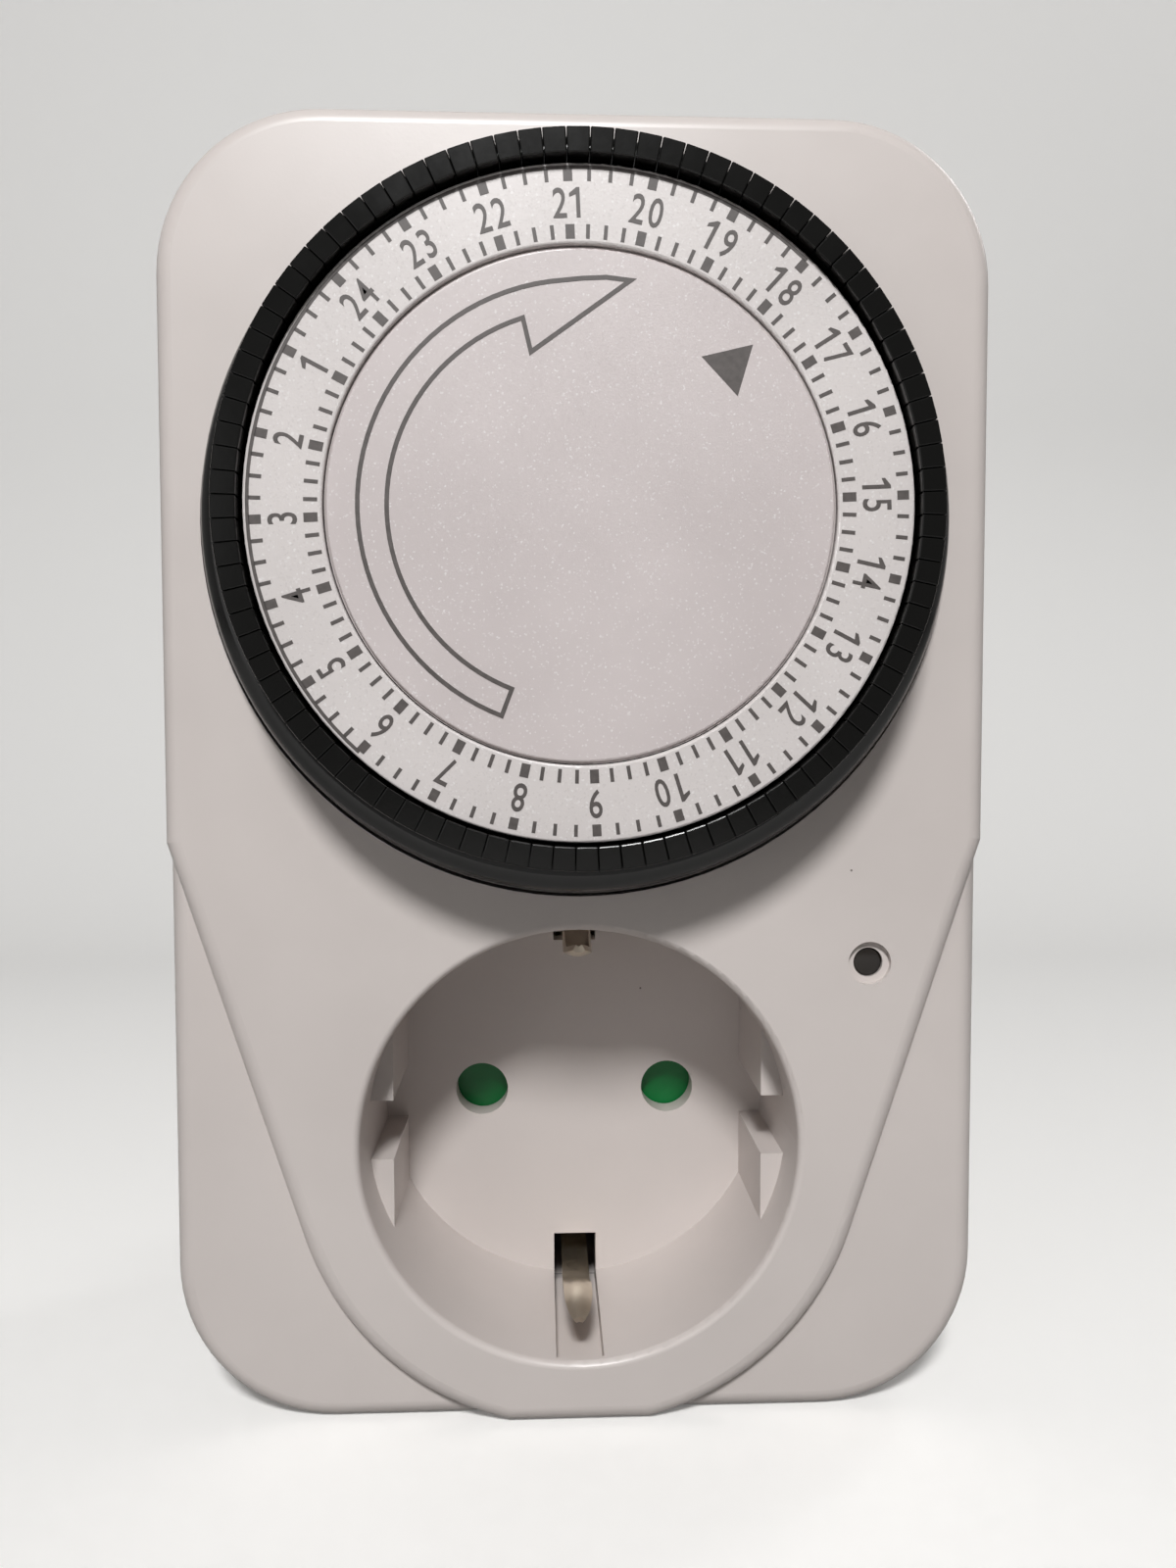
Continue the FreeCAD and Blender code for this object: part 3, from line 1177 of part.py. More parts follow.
def turned_wire(points, clockwise):
    angle = math.radians(clockwise)
    return outline([(x * math.cos(angle) + up * math.sin(angle),
                     up * math.cos(angle) - x * math.sin(angle)) for x, up in points])


def half_at(radius, taken):
    """Half the width of a pocket or a segment head at a radius, less what is taken off it."""
    return radius * math.sin(math.pi / segment_count.number) - taken / 2


def pocket_points():
    near, far = float(cage_inner + running), pocket_outer.number
    low, high = half_at(near, rib_thick.number), half_at(far, rib_thick.number)
    return [(-low, near), (low, near), (high, far), (-high, far)]


def make_segment():
    """One quarter-hour segment pointing straight up: chamfered head and narrow foot."""
    near, far = segment_inner.number, segment_outer.number
    cut = segment_chamfer.number
    top = float(front + segment_top)

    def head_points(inset):
        low = half_at(near + inset, segment_split.number) - inset
        high = half_at(far - inset, segment_split.number) - inset
        return [(-low, near + inset), (low, near + inset), (high, far - inset), (-high, far - inset)]

    head = extrude(outline(head_points(0)), head_bottom, top - cut)
    lower, upper = outline(head_points(0)), outline(head_points(cut))
    lower.translate(Vector(0, 0, top - cut))
    upper.translate(Vector(0, 0, top))
    crown = Part.makeLoft([lower, upper], True, True)
    half = foot_width.number / 2
    foot = block(-half, half, near, far - cut / 2, foot_bottom, head_bottom)
    return head.multiFuse([crown, foot]).removeSplitter()


def make_hour_segments(hour, segment):
    copies = []
    for quarter in range(segments_per_hour):
        copy = segment.copy()
        copy.rotate(Vector(0, 0, 0), Vector(0, 0, 1), -segment_angle(hour, quarter))
        copies.append(copy)
    return keep_shape(f"segments_{hour:02d}", Part.makeCompound(copies), AT_DIAL)


def make_number_ring():
    body = new_body("number_ring")
    middle = [(as_size(0), dial_up)]
    add_discs(body, "ring_plate", ring_outer, ring_back, print_level, middle)
    cut_discs(body, "ring_hole", ring_inner, print_level, ring_back, middle)
    round_edges(body, "ring_edges", ring_thick * rim_round, lambda edge: at_level(edge, print_level))
    return keep(body, "number_ring")


def make_centre_disc():
    body = new_body("centre_disc")
    middle = [(as_size(0), dial_up)]
    face = print_level - ring_step
    back = face - disc_thick
    add_discs(body, "disc_plate", ring_inner - disc_gap, back, face, middle)
    round_edges(body, "disc_edge", ring_thick * rim_round, lambda edge: at_level(edge, face))
    add_discs(body, "disc_boss", boss_radius, post_front, back + disc_thick / 2, middle)
    add_discs(body, "disc_stub", stub_radius, post_front - stub_length, back + disc_thick / 2, middle)
    return keep(body, "centre_disc")


# Sensing lever and its pin
def make_lever():
    half, thick = lever_width.number / 2, lever_thick.number / 2
    x, pivot, level = nose_x.number, lever_up.number, lever_level.number
    nose = pivot + lever_nose_arm.number
    length = nose_length.number / 2
    bar = block(x - half, x + half, pivot - lever_tail_arm, nose + length, level - thick, level + thick)
    tip = block(x - nose_width / 2, x + nose_width / 2, nose - length, nose + length, level, nose_level)
    hole = Part.makeCylinder(float(lever_pin_radius + running), lever_width.number * 2,
                             Vector(x - lever_width.number, pivot, level), Vector(1, 0, 0))
    return keep_shape("sense_lever", bar.fuse(tip).cut(hole))


def make_lever_pin():
    reach = float(lever_width / 2 + loose + lever_ear)
    end = Vector(nose_x.number - reach, lever_up.number, lever_level.number)
    rod = Part.makeCylinder(float(lever_pin_radius), 2 * reach, end, Vector(1, 0, 0))
    return keep_shape("lever_pin", rod)


def make_slider():
    body = new_body("override_slider")
    level = front - slider_drop
    outside = half_width - case_wall - loose
    inside = outside - slider_plate
    knob = slider_knob / 2
    half = slider_width / 2
    add_blocks(body, "slider_plate_block", level - half - slider_border, level + half + slider_border,
               (inside, outside, slider_up - knob - slider_travel - slider_border,
                slider_up + knob + slider_travel + slider_border))
    add_blocks(body, "slider_knob_block", level - half, level + half,
               (outside - slider_plate / 2, half_width + slider_proud, slider_up - knob, slider_up + knob))
    return keep(body, "override_slider")


# Fasteners
def make_screw(place, seat, radius, length, head_radius, head_height):
    """A pan head screw driven from behind, its cross cut in the head."""
    x, up = float(place[0]), float(place[1])
    back = float(seat) - float(head_height)
    head = disc(head_radius, back, seat, x, up)
    edges = [edge for edge in head.Edges if all(abs(vertex.Z - back) < 1e-6 for vertex in edge.Vertexes)]
    head = head.makeFillet(float(head_height) * end_round, edges)
    arm, half = float(head_radius) * cross_reach, screw_slot.number / 2
    cross = block(x - arm, x + arm, up - half, up + half, back, back + half * 2)
    cross = cross.fuse(block(x - half, x + half, up - arm, up + arm, back, back + half * 2))
    shank = disc(radius, seat, seat + length, x, up)
    return head.cut(cross).fuse(shank)


def make_case_screws():
    screws = []
    for places, seat in ((lower_places, lower_seat), (upper_places, upper_seat)):
        for place in places:
            screws.append(make_screw(place, seat, screw_radius, screw_length, screw_head_radius,
                                     screw_head_height))
    return keep_shape("case_screws", Part.makeCompound(screws))


def make_chassis_screws():
    screws = [make_screw(place, chassis_back, fixing_radius, fixing_length, fixing_head_radius,
                         fixing_head_height) for place in fixing_places]
    return keep_shape("chassis_screws", Part.makeCompound(screws))


# Places that several pieces share
AT_DIAL = TO_ROW.multiply(Placement(Vector(0, dial_up.number, 0), Rotation()))

feed_level = flange_front + feed_run
return_level = flange_front + return_run
grip_straight = return_level + strip_thick
nose_reach = (cage_inner + segment_outer) / 2
nose_x = nose_reach * sine(pointer_angle)
lever_up = dial_up + nose_reach * cosine(pointer_angle) - lever_nose_arm
leaf_foot = lever_up - leaf_below
leaf_end = leaf_foot + leaf_length
fixed_low = lever_up - fixed_below
leaf_level = lever_level - lever_thick / 2 - loose - leaf_thick
fixed_level = leaf_level + leaf_thick + rivet_height * 2 + contact_gap
nose_level = cage_low - loose

pinion_tip = module_size * (pinion_teeth / 2 + tooth_rise)
dial_reach = module_size * (dial_teeth + pinion_teeth) / 2
wheel_reach = module_size * (wheel_teeth + pinion_teeth) / 2
second_spot = (dial_reach * cosine(second_bearing), dial_up + dial_reach * sine(second_bearing))
first_spot = (second_spot[0] + wheel_reach * cosine(first_bearing),
              second_spot[1] + wheel_reach * sine(first_bearing))
motor_spot = (first_spot[0] + wheel_reach * cosine(motor_bearing),
              first_spot[1] + wheel_reach * sine(motor_bearing))

dial_phase = second_bearing.number
second_phase = mesh_phase(second_bearing.number, dial_teeth.number, dial_phase, pinion_teeth.number)
first_phase = mesh_phase(first_bearing.number, wheel_teeth.number, 0.0, pinion_teeth.number)
motor_phase = mesh_phase(motor_bearing.number, wheel_teeth.number, 0.0, pinion_teeth.number)

second_pinion_front = (web_back - gear_clear).number
second_pinion_back = (gear_back - gear_clear * 2).number
second_wheel_back = second_pinion_back - wheel_width.number
first_pinion_front = second_pinion_back + gear_clear.number
first_pinion_back = second_wheel_back - gear_clear.number
first_wheel_back = first_pinion_back - wheel_width.number
motor_pinion_front = first_pinion_back + gear_clear.number / 2
motor_pinion_back = first_wheel_back - gear_clear.number
doc.recompute()

make_front_case()
make_rear_case()
make_plug_body()
make_pin("live_pin", pin_x)
make_pin("neutral_pin", -pin_x)
make_plug_clip()
make_socket_clip()
make_earth_post()
make_grip("neutral_contact", -pin_x, contact_seat.number)
make_grip("live_contact", pin_x, float(contact_seat + strip_thick + spacer_height))
make_spacer()
make_live_feed()
make_live_return()
make_moving_contact()
make_fixed_contact()
make_shutter()
make_shutter_spring()
make_shutter_cover()
make_lamp()
make_resistor()
make_chassis()
make_motor()
make_motor_pinion(motor_phase)
first_levels = (first_wheel_back, first_pinion_back, first_pinion_front)
second_levels = (second_wheel_back, second_pinion_back, second_pinion_front)
make_gear("gear_first", first_spot, first_levels, 0.0, first_phase)
make_gear("gear_second", second_spot, second_levels, 0.0, second_phase)
make_arbor("arbor_first", first_spot, as_size(first_pinion_front))
make_arbor("arbor_second", second_spot, as_size(second_pinion_front))
make_dial_drum()
make_number_ring()
make_centre_disc()
unit_segment = make_segment()
for hour in range(hours_round):
    make_hour_segments(hour, unit_segment)
make_lever()
make_lever_pin()
make_slider()
make_case_screws()
make_chassis_screws()

# Checks before anything is written
doc.recompute()
for thing in doc.Objects:
    bad = [state for state in thing.State if state in ("Invalid", "Error")]
    if bad:
        raise RuntimeError(f"{thing.Label} is {bad}")
    if thing.TypeId == "PartDesign::Pocket":
        base = thing.BaseFeature.Shape.Volume
        if base - thing.Shape.Volume < 1e-3:
            raise RuntimeError(f"{thing.Name} cuts nothing")
for thing in sub_parts:
    if thing.Shape.isNull() or not thing.Shape.isValid():
        raise RuntimeError(f"{thing.Label} has no valid shape")

os.makedirs("parts", exist_ok=True)
for thing in sub_parts:
    thing.Shape.exportStep(f"parts/{thing.Label}.step")
    print(f"{thing.Label}: {len(thing.Shape.Solids)} solid, {thing.Shape.Volume:.1f} mm3")
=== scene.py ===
import math

import bmesh
import bpy
from mathutils import Matrix, Vector


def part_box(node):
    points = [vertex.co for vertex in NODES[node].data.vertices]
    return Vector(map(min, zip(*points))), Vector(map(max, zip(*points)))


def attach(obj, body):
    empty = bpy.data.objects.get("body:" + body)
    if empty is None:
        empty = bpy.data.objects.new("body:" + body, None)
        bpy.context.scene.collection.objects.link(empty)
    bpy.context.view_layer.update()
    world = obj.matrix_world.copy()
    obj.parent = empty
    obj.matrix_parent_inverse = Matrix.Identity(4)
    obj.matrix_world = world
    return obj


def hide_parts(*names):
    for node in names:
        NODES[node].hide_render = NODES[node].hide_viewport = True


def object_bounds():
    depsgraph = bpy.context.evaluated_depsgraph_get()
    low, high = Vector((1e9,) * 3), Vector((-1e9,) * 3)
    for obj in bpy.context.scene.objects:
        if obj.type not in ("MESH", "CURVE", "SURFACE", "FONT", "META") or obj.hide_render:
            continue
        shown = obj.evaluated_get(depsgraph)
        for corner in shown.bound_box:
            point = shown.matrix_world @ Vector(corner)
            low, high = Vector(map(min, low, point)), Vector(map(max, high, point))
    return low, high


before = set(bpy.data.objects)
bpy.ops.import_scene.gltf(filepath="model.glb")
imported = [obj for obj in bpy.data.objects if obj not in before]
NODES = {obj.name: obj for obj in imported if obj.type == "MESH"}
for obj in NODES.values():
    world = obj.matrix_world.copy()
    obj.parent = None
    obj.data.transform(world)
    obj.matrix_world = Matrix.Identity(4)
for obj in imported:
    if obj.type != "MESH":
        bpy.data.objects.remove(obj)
CAD_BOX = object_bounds()

bl_info = {
    "name": "Timer switch finish",
    "version": (1, 0, 0),
    "blender": (4, 5, 0),
    "location": "3D View > Sidebar > Timer switch",
    "description": "Finishes, print and studio for a plug-in timer switch",
    "category": "Object",
}

# Places read from the frame, in metres. The front of the timer faces -Y.
MM = 0.001
RING_LOW, RING_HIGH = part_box("number_ring")
DISC_LOW, DISC_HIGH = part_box("centre_disc")
CASE_LOW, CASE_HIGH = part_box("front_case")
DIAL_UP = (RING_LOW.z + RING_HIGH.z) / 2
RING_FACE = RING_LOW.y
DISC_FACE = DISC_LOW.y
SEGMENT_FACE, SEGMENT_FOOT = (corner.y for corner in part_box("segments_00"))
CLIP_LOW, CLIP_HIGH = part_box("socket_earth_clip")
DISC_RADIUS = (DISC_HIGH.x - DISC_LOW.x) / 2
HOURS = 24
QUARTERS = 4             # ticks and segments to an hour
QUARTER = 360 / (HOURS * QUARTERS)      # degrees on the dial


def linear(colour):
    """A linear colour with full alpha from an sRGB hex value such as "c8c0bc", by the sRGB curve."""
    found = []
    for place in (0, 2, 4):
        share = int(colour[place:place + 2], 16) / 255
        found.append(share / 12.92 if share <= 0.04045 else ((share + 0.055) / 1.055) ** 2.4)
    return (*found, 1.0)


def add(material, kind, inputs=None, **settings):
    """Add one node: settings are its attributes, inputs its sockets, each a value or another node's output."""
    node = material.node_tree.nodes.new(kind)
    for name, value in settings.items():
        setattr(node, name, value)
    for name, value in (inputs or {}).items():
        if isinstance(value, bpy.types.NodeSocket):
            material.node_tree.links.new(value, node.inputs[name])
        else:
            node.inputs[name].default_value = value
    return node


def new_material(name):
    """An empty material, and its Object coordinates in metres."""
    material = bpy.data.materials.new(name)
    material.use_nodes = True
    material.node_tree.nodes.clear()
    return material, add(material, "ShaderNodeTexCoord").outputs["Object"]


def finish_with(material, shader):
    """The material, with its shader joined to its surface."""
    add(material, "ShaderNodeOutputMaterial", {"Surface": shader.outputs["BSDF"]})
    return material


def per_metre(size_mm):
    """Scale of a noise or cell pattern whose features are that many millimetres across."""
    return 1 / (size_mm * MM)


def two_tone(material, share, low, high, start=0.35, end=0.65):
    """A colour that runs from one hex to another as a share goes from start to end."""
    ramp = add(material, "ShaderNodeValToRGB", {"Fac": share})
    ramp.color_ramp.elements[0].position = start
    ramp.color_ramp.elements[1].position = end
    ramp.color_ramp.elements[0].color = linear(low)
    ramp.color_ramp.elements[1].color = linear(high)
    return ramp.outputs["Color"]


def ranged(material, share, low, high):
    """A share between 0 and 1 mapped to a range, such as one of roughness."""
    return add(material, "ShaderNodeMapRange", {"Value": share, "To Min": low, "To Max": high}).outputs["Result"]


def moulded_plastic(name, low, high, rough, grain_mm=0.3, depth_mm=0.006, cloud_mm=18.0, ior=1.5):
    """Injection moulded plastic: even colour with faint clouds, a fine eroded grain and soft uneven gloss."""
    # A spark-eroded mould leaves a grain of some 0.05 mm, too fine to show here. It is drawn as coarse as it
    # needs to be, to break up the gloss as the real one does.
    gloss_spread = 0.06
    material, place = new_material(name)
    clouds = add(material, "ShaderNodeTexNoise", {"Vector": place, "Scale": per_metre(cloud_mm), "Detail": 3.0})
    grain = add(material, "ShaderNodeTexNoise", {"Vector": place, "Scale": per_metre(grain_mm), "Detail": 2.0})
    smears = add(material, "ShaderNodeTexNoise",
                 {"Vector": place, "Scale": per_metre(cloud_mm / 3), "Detail": 4.0, "Roughness": 0.65})
    bump = add(material, "ShaderNodeBump",
               {"Height": grain.outputs["Fac"], "Distance": depth_mm * MM, "Strength": 0.6})
    shader = add(material, "ShaderNodeBsdfPrincipled", {
        "Base Color": two_tone(material, clouds.outputs["Fac"], low, high),
        "Roughness": ranged(material, smears.outputs["Fac"], rough - gloss_spread, rough + gloss_spread),
        "IOR": ior, "Normal": bump.outputs["Normal"]})
    return finish_with(material, shader)


def specked_case_plastic(name, low, high, rough, seam):
    """Warm white ABS: a satin eroded face, faint clouds, a few dark specks and a dark line where shells meet."""
    # The real grain of some 0.05 mm is too fine to show, and so it is drawn at 0.28 mm.
    cloud_mm, grain_mm, smear_mm = 22.0, 0.28, 7.0
    cell_mm, speck_above, speck_reach = 3.4, 0.984, 0.03      # a speck in the middle of one cell in sixty
    line_black, line_end, line_share = 0.07 * MM, 0.16 * MM, 0.72
    material, place = new_material(name)
    clouds = add(material, "ShaderNodeTexNoise", {"Vector": place, "Scale": per_metre(cloud_mm), "Detail": 3.0})
    grain = add(material, "ShaderNodeTexNoise", {"Vector": place, "Scale": per_metre(grain_mm), "Detail": 2.0})
    smears = add(material, "ShaderNodeTexNoise",
                 {"Vector": place, "Scale": per_metre(smear_mm), "Detail": 4.0, "Roughness": 0.65})
    cells = add(material, "ShaderNodeTexVoronoi", {"Vector": place, "Scale": per_metre(cell_mm)})
    chosen = add(material, "ShaderNodeMath",
                 {0: add(material, "ShaderNodeSeparateColor", {"Color": cells.outputs["Color"]}).outputs["Red"],
                  1: speck_above}, operation="GREATER_THAN")
    near = add(material, "ShaderNodeMath", {0: cells.outputs["Distance"], 1: speck_reach}, operation="LESS_THAN")
    speck = add(material, "ShaderNodeMath", {0: chosen.outputs[0], 1: near.outputs[0]}, operation="MULTIPLY")
    depth = add(material, "ShaderNodeSeparateXYZ", {"Vector": place}).outputs["Y"]
    aside = add(material, "ShaderNodeMath", {0: depth, 1: seam}, operation="SUBTRACT")
    off = add(material, "ShaderNodeMath", {0: aside.outputs[0]}, operation="ABSOLUTE")
    joint = add(material, "ShaderNodeMapRange",
                {"Value": off.outputs[0], "From Min": line_end, "From Max": line_black, "To Max": line_share})
    marks = add(material, "ShaderNodeMath", {0: speck.outputs[0], 1: joint.outputs["Result"]},
                operation="MAXIMUM")
    body = two_tone(material, clouds.outputs["Fac"], low, high)
    colour = add(material, "ShaderNodeMix", {"Factor": marks.outputs[0], 6: body, 7: linear("6c645f")},
                 data_type="RGBA")
    bump = add(material, "ShaderNodeBump",
               {"Height": grain.outputs["Fac"], "Distance": 0.006 * MM, "Strength": 0.6})
    shader = add(material, "ShaderNodeBsdfPrincipled", {
        "Base Color": colour.outputs[2],
        "Roughness": ranged(material, smears.outputs["Fac"], rough - 0.05, rough + 0.07),
        "IOR": 1.54, "Normal": bump.outputs["Normal"]})
    return finish_with(material, shader)


def pearl_plastic(name, low, high, rough, flake_mm, painted_glint):
    """Pale polystyrene filled with fine metal flake: a soft sheen, and scattered glints painted into the colour
    as white flecks.
    """
    # Real flakes are some 0.05 mm across, too fine to show here, and so they are drawn two or three times that.
    cloud_mm, painted_glint_above, gloss_spread = 12.0, 0.93, 0.08
    material, place = new_material(name)
    clouds = add(material, "ShaderNodeTexNoise", {"Vector": place, "Scale": per_metre(cloud_mm), "Detail": 3.0})
    flakes = add(material, "ShaderNodeTexVoronoi", {"Vector": place, "Scale": per_metre(flake_mm)})
    parted = add(material, "ShaderNodeSeparateColor", {"Color": flakes.outputs["Color"]})
    # Painted glints: the brightest cells turn white in the base colour, standing in for flakes that catch the
    # light.
    painted_glint_share = add(material, "ShaderNodeMapRange",
                 {"Value": parted.outputs["Red"], "From Min": painted_glint_above, "From Max": 1.0, "To Max": painted_glint})
    body = two_tone(material, clouds.outputs["Fac"], low, high)
    colour = add(material, "ShaderNodeMix",
                 {"Factor": painted_glint_share.outputs["Result"], 6: body, 7: linear("ffffff")}, data_type="RGBA")
    tilt = add(material, "ShaderNodeBump",
               {"Height": parted.outputs["Green"], "Distance": 0.01 * MM, "Strength": 0.35})
    shader = add(material, "ShaderNodeBsdfPrincipled", {
        "Base Color": colour.outputs[2],
        "Roughness": ranged(material, parted.outputs["Blue"], rough - gloss_spread, rough + gloss_spread),
        "IOR": 1.55, "Normal": tilt.outputs["Normal"]})
    return finish_with(material, shader)


def worked_metal(name, low, high, rough, lines_mm, along):
    """Bare or plated metal with the fine lines that rolling, drawing or turning leaves along one way."""
    # The real lines are some 0.02 mm apart, too fine to show here. They are drawn ten times as coarse or more,
    # so that the highlight still streaks along them.
    drawn_out, stain_mm = 0.06, 4.0
    material, place = new_material(name)
    stretch = [1.0, 1.0, 1.0]
    stretch["XYZ".index(along)] = drawn_out
    turned = add(material, "ShaderNodeMapping", {"Vector": place, "Scale": stretch})
    lines = add(material, "ShaderNodeTexNoise",
                {"Vector": turned.outputs["Vector"], "Scale": per_metre(lines_mm), "Detail": 3.0})
    stains = add(material, "ShaderNodeTexNoise", {"Vector": place, "Scale": per_metre(stain_mm), "Detail": 4.0})
    bump = add(material, "ShaderNodeBump",
               {"Height": lines.outputs["Fac"], "Distance": 0.004 * MM, "Strength": 0.5})
    shader = add(material, "ShaderNodeBsdfPrincipled", {
        "Base Color": two_tone(material, stains.outputs["Fac"], low, high),
        "Metallic": 1.0,
        "Roughness": ranged(material, lines.outputs["Fac"], rough - 0.08, rough + 0.1),
        "Normal": bump.outputs["Normal"]})
    return finish_with(material, shader)


def clear_glass(name, tint):
    """Thin glass of a glow lamp, with a faint warm tint and drawn waviness."""
    wave_mm = 2.0
    material, place = new_material(name)
    waves = add(material, "ShaderNodeTexNoise", {"Vector": place, "Scale": per_metre(wave_mm)})
    bump = add(material, "ShaderNodeBump",
               {"Height": waves.outputs["Fac"], "Distance": 0.02 * MM, "Strength": 0.3})
    shader = add(material, "ShaderNodeBsdfPrincipled", {
        "Base Color": linear(tint), "Roughness": 0.06, "IOR": 1.5, "Transmission Weight": 0.85,
        "Normal": bump.outputs["Normal"]})
    return finish_with(material, shader)


def printing_ink(name, low, high):
    """Dark grey pad-printed ink, slightly thin in places so that it reads as printed."""
    # Real ink thins over some 0.1 mm, which is too fine to show here, and so it is drawn at 0.5 mm.
    wear_mm = 0.5
    material, place = new_material(name)
    wear = add(material, "ShaderNodeTexNoise", {"Vector": place, "Scale": per_metre(wear_mm), "Detail": 3.0})
    shader = add(material, "ShaderNodeBsdfPrincipled", {
        "Base Color": two_tone(material, wear.outputs["Fac"], low, high, 0.3, 0.75),
        "Roughness": ranged(material, wear.outputs["Fac"], 0.4, 0.6), "IOR": 1.48})
    return finish_with(material, shader)


def seen_share(tree, mirrored):
    """1 for what is seen straight or through glass, the mirrored share for a reflection, 0 for bounced light."""
    ray = add(tree, "ShaderNodeLightPath").outputs
    straight = add(tree, "ShaderNodeMath", {0: ray["Is Camera Ray"], 1: ray["Is Transmission Ray"]},
                   operation="MAXIMUM")
    gloss = add(tree, "ShaderNodeMath", {0: ray["Is Glossy Ray"], 1: mirrored}, operation="MULTIPLY")
    return add(tree, "ShaderNodeMath", {0: straight.outputs[0], 1: gloss.outputs[0]},
               operation="MAXIMUM").outputs[0]


def camera_only(tree):
    """1 for what the camera sees straight, and 0 for all else."""
    return add(tree, "ShaderNodeLightPath").outputs["Is Camera Ray"]


def studio_paper(name, low, high, bounced):
    """Matt seamless paper: pale with a faint fibre, but giving back less light, so the object keeps its shade.

    Low and high are its tones to the eye, and bounced is the one that throws light back."""
    # Paper fibres are some 0.05 mm thick, too fine to show here, and so they are drawn as clots of 1.2 mm.
    fibre_mm, mirrored, lift = 1.2, 0.5, 0.13
    material, place = new_material(name)
    fibre = add(material, "ShaderNodeTexNoise", {"Vector": place, "Scale": per_metre(fibre_mm), "Detail": 4.0})
    pale = two_tone(material, fibre.outputs["Fac"], low, high)
    colour = add(material, "ShaderNodeMix",
                 {"Factor": seen_share(material, mirrored), 6: linear(bounced), 7: pale}, data_type="RGBA")
    shader = add(material, "ShaderNodeBsdfPrincipled", {
        "Base Color": colour.outputs[2], "Roughness": ranged(material, fibre.outputs["Fac"], 0.8, 0.95),
        "Emission Color": pale, "Emission Strength": ranged(material, camera_only(material), 0.0, lift)})
    return finish_with(material, shader)


def paint(names, material):
    """Give CAD nodes a material through their own slots."""
    for name in names:
        for slot in NODES[name].material_slots:
            slot.material = material


def place_piece(name, mesh, material, body):
    """Link a finished mesh, drawn in its place in metres, and let it ride on its body."""
    mesh.materials.append(material)
    piece = bpy.data.objects.new(name, mesh)
    bpy.context.scene.collection.objects.link(piece)
    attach(piece, body)
    return piece


def to_mesh(name, shape):
    """A mesh from a finished shape, its faces turned outwards."""
    bmesh.ops.recalc_face_normals(shape, faces=shape.faces)
    mesh = bpy.data.meshes.new(name)
    shape.to_mesh(mesh)
    shape.free()
    return mesh


def on_dial(clockwise, radius=0.0, level=0.0):
    """Place on the dial: y runs outwards at an angle clockwise from the top, in degrees, and z to the viewer."""
    turn = Matrix.Rotation(math.radians(clockwise), 4, "Y")
    stand = Matrix.Rotation(math.radians(90), 4, "X")
    return Matrix.Translation((0, 0, DIAL_UP)) @ turn @ Matrix.Translation((0, level, radius)) @ stand


def hoop_shape(inner, outer, front, back, rounded=0.0):
    """A closed ring round the dial's axis: its four-sided section, one corner rounded, spun right round."""
    around, rounding = 144, 10      # steps
    shape = bmesh.new()
    section = bmesh.ops.create_grid(shape, x_segments=1, y_segments=1, size=0.5)["verts"]
    corner = [vert for vert in section if vert.co.x < 0 < vert.co.y]
    for vert in section:
        vert.co = (0, front if vert.co.x < 0 else back, DIAL_UP + (inner if vert.co.y < 0 else outer))
    if rounded:
        bmesh.ops.bevel(shape, geom=corner, offset=rounded, affect="VERTICES", segments=rounding, profile=0.5,
                        material=-1)
    bmesh.ops.delete(shape, geom=shape.faces[:], context="FACES_ONLY")
    bmesh.ops.spin(shape, geom=shape.verts[:] + shape.edges[:], cent=(0, 0, DIAL_UP), axis=(0, 1, 0),
                   angle=math.tau, steps=around, use_merge=True)
    return shape


def smoothed(mesh, degrees=35):
    """The mesh shaded smooth, but for edges sharper than that."""
    for face in mesh.polygons:
        face.use_smooth = True
    mesh.set_sharp_from_angle(angle=math.radians(degrees))
    return mesh


def segment_shape(sizes):
    """One segment pointing straight up, in millimetres: a head with softened edges on a narrow foot."""
    foot_start = 0.9         # share of the head's height where the foot starts, so that the two meet
    shape = bmesh.new()
    half_turn = math.pi / (HOURS * QUARTERS)
    inner, outer, depth = sizes.inner / MM, sizes.outer / MM, sizes.head / MM
    for vert in bmesh.ops.create_cube(shape, size=1.0)["verts"]:
        radius = outer if vert.co.y > 0 else inner
        half = radius * math.sin(half_turn) - sizes.gap / MM / 2
        vert.co = (math.copysign(half, vert.co.x), radius, (vert.co.z - 0.5) * depth)
    edges = [edge for edge in shape.edges if any(vert.co.z > -depth / 2 for vert in edge.verts)]
    bmesh.ops.bevel(shape, geom=edges, offset=sizes.corner / MM, affect="EDGES", segments=2, profile=0.5,
                    material=-1)
    foot = bmesh.ops.create_cube(shape, size=1.0)["verts"]
    far = outer - sizes.corner / MM
    start, end = depth * foot_start, (SEGMENT_FOOT - SEGMENT_FACE) / MM
    grown = Matrix.Diagonal((sizes.foot / MM, far - inner, end - start, 1.0))
    bmesh.ops.transform(shape, matrix=Matrix.Translation((0, (inner + far) / 2, -(start + end) / 2)) @ grown,
                        verts=foot)
    return shape


def contact_line(sizes):
    """Inner face of the socket's earth contact from one tip to the other, as (up, towards the viewer)."""
    corner_steps, arm_steps, fall_back = 6, 20, 1.25
    tip, base = -CLIP_LOW.y, sizes.thick - CLIP_HIGH.y
    low, peak = sizes.swell_start, sizes.swell_peak
    seat, bend = CLIP_HIGH.z - sizes.thick, sizes.thick * 2
    arm = []
    for step in range(corner_steps + 1):
        turn = math.radians(90 * step / corner_steps - 90)
        arm.append((seat - bend + bend * math.cos(turn), base + bend + bend * math.sin(turn)))
    for step in range(arm_steps + 1):
        level = low + (tip - low) * step / arm_steps
        reach = (level - low) / (peak - low)
        lean = math.sin(reach * math.pi / 2) ** 2 if reach < 1 else math.cos((reach - 1) * fall_back) ** 2
        arm.append((seat - sizes.swell * lean, level))
    return [(-up, level) for up, level in reversed(arm)] + arm


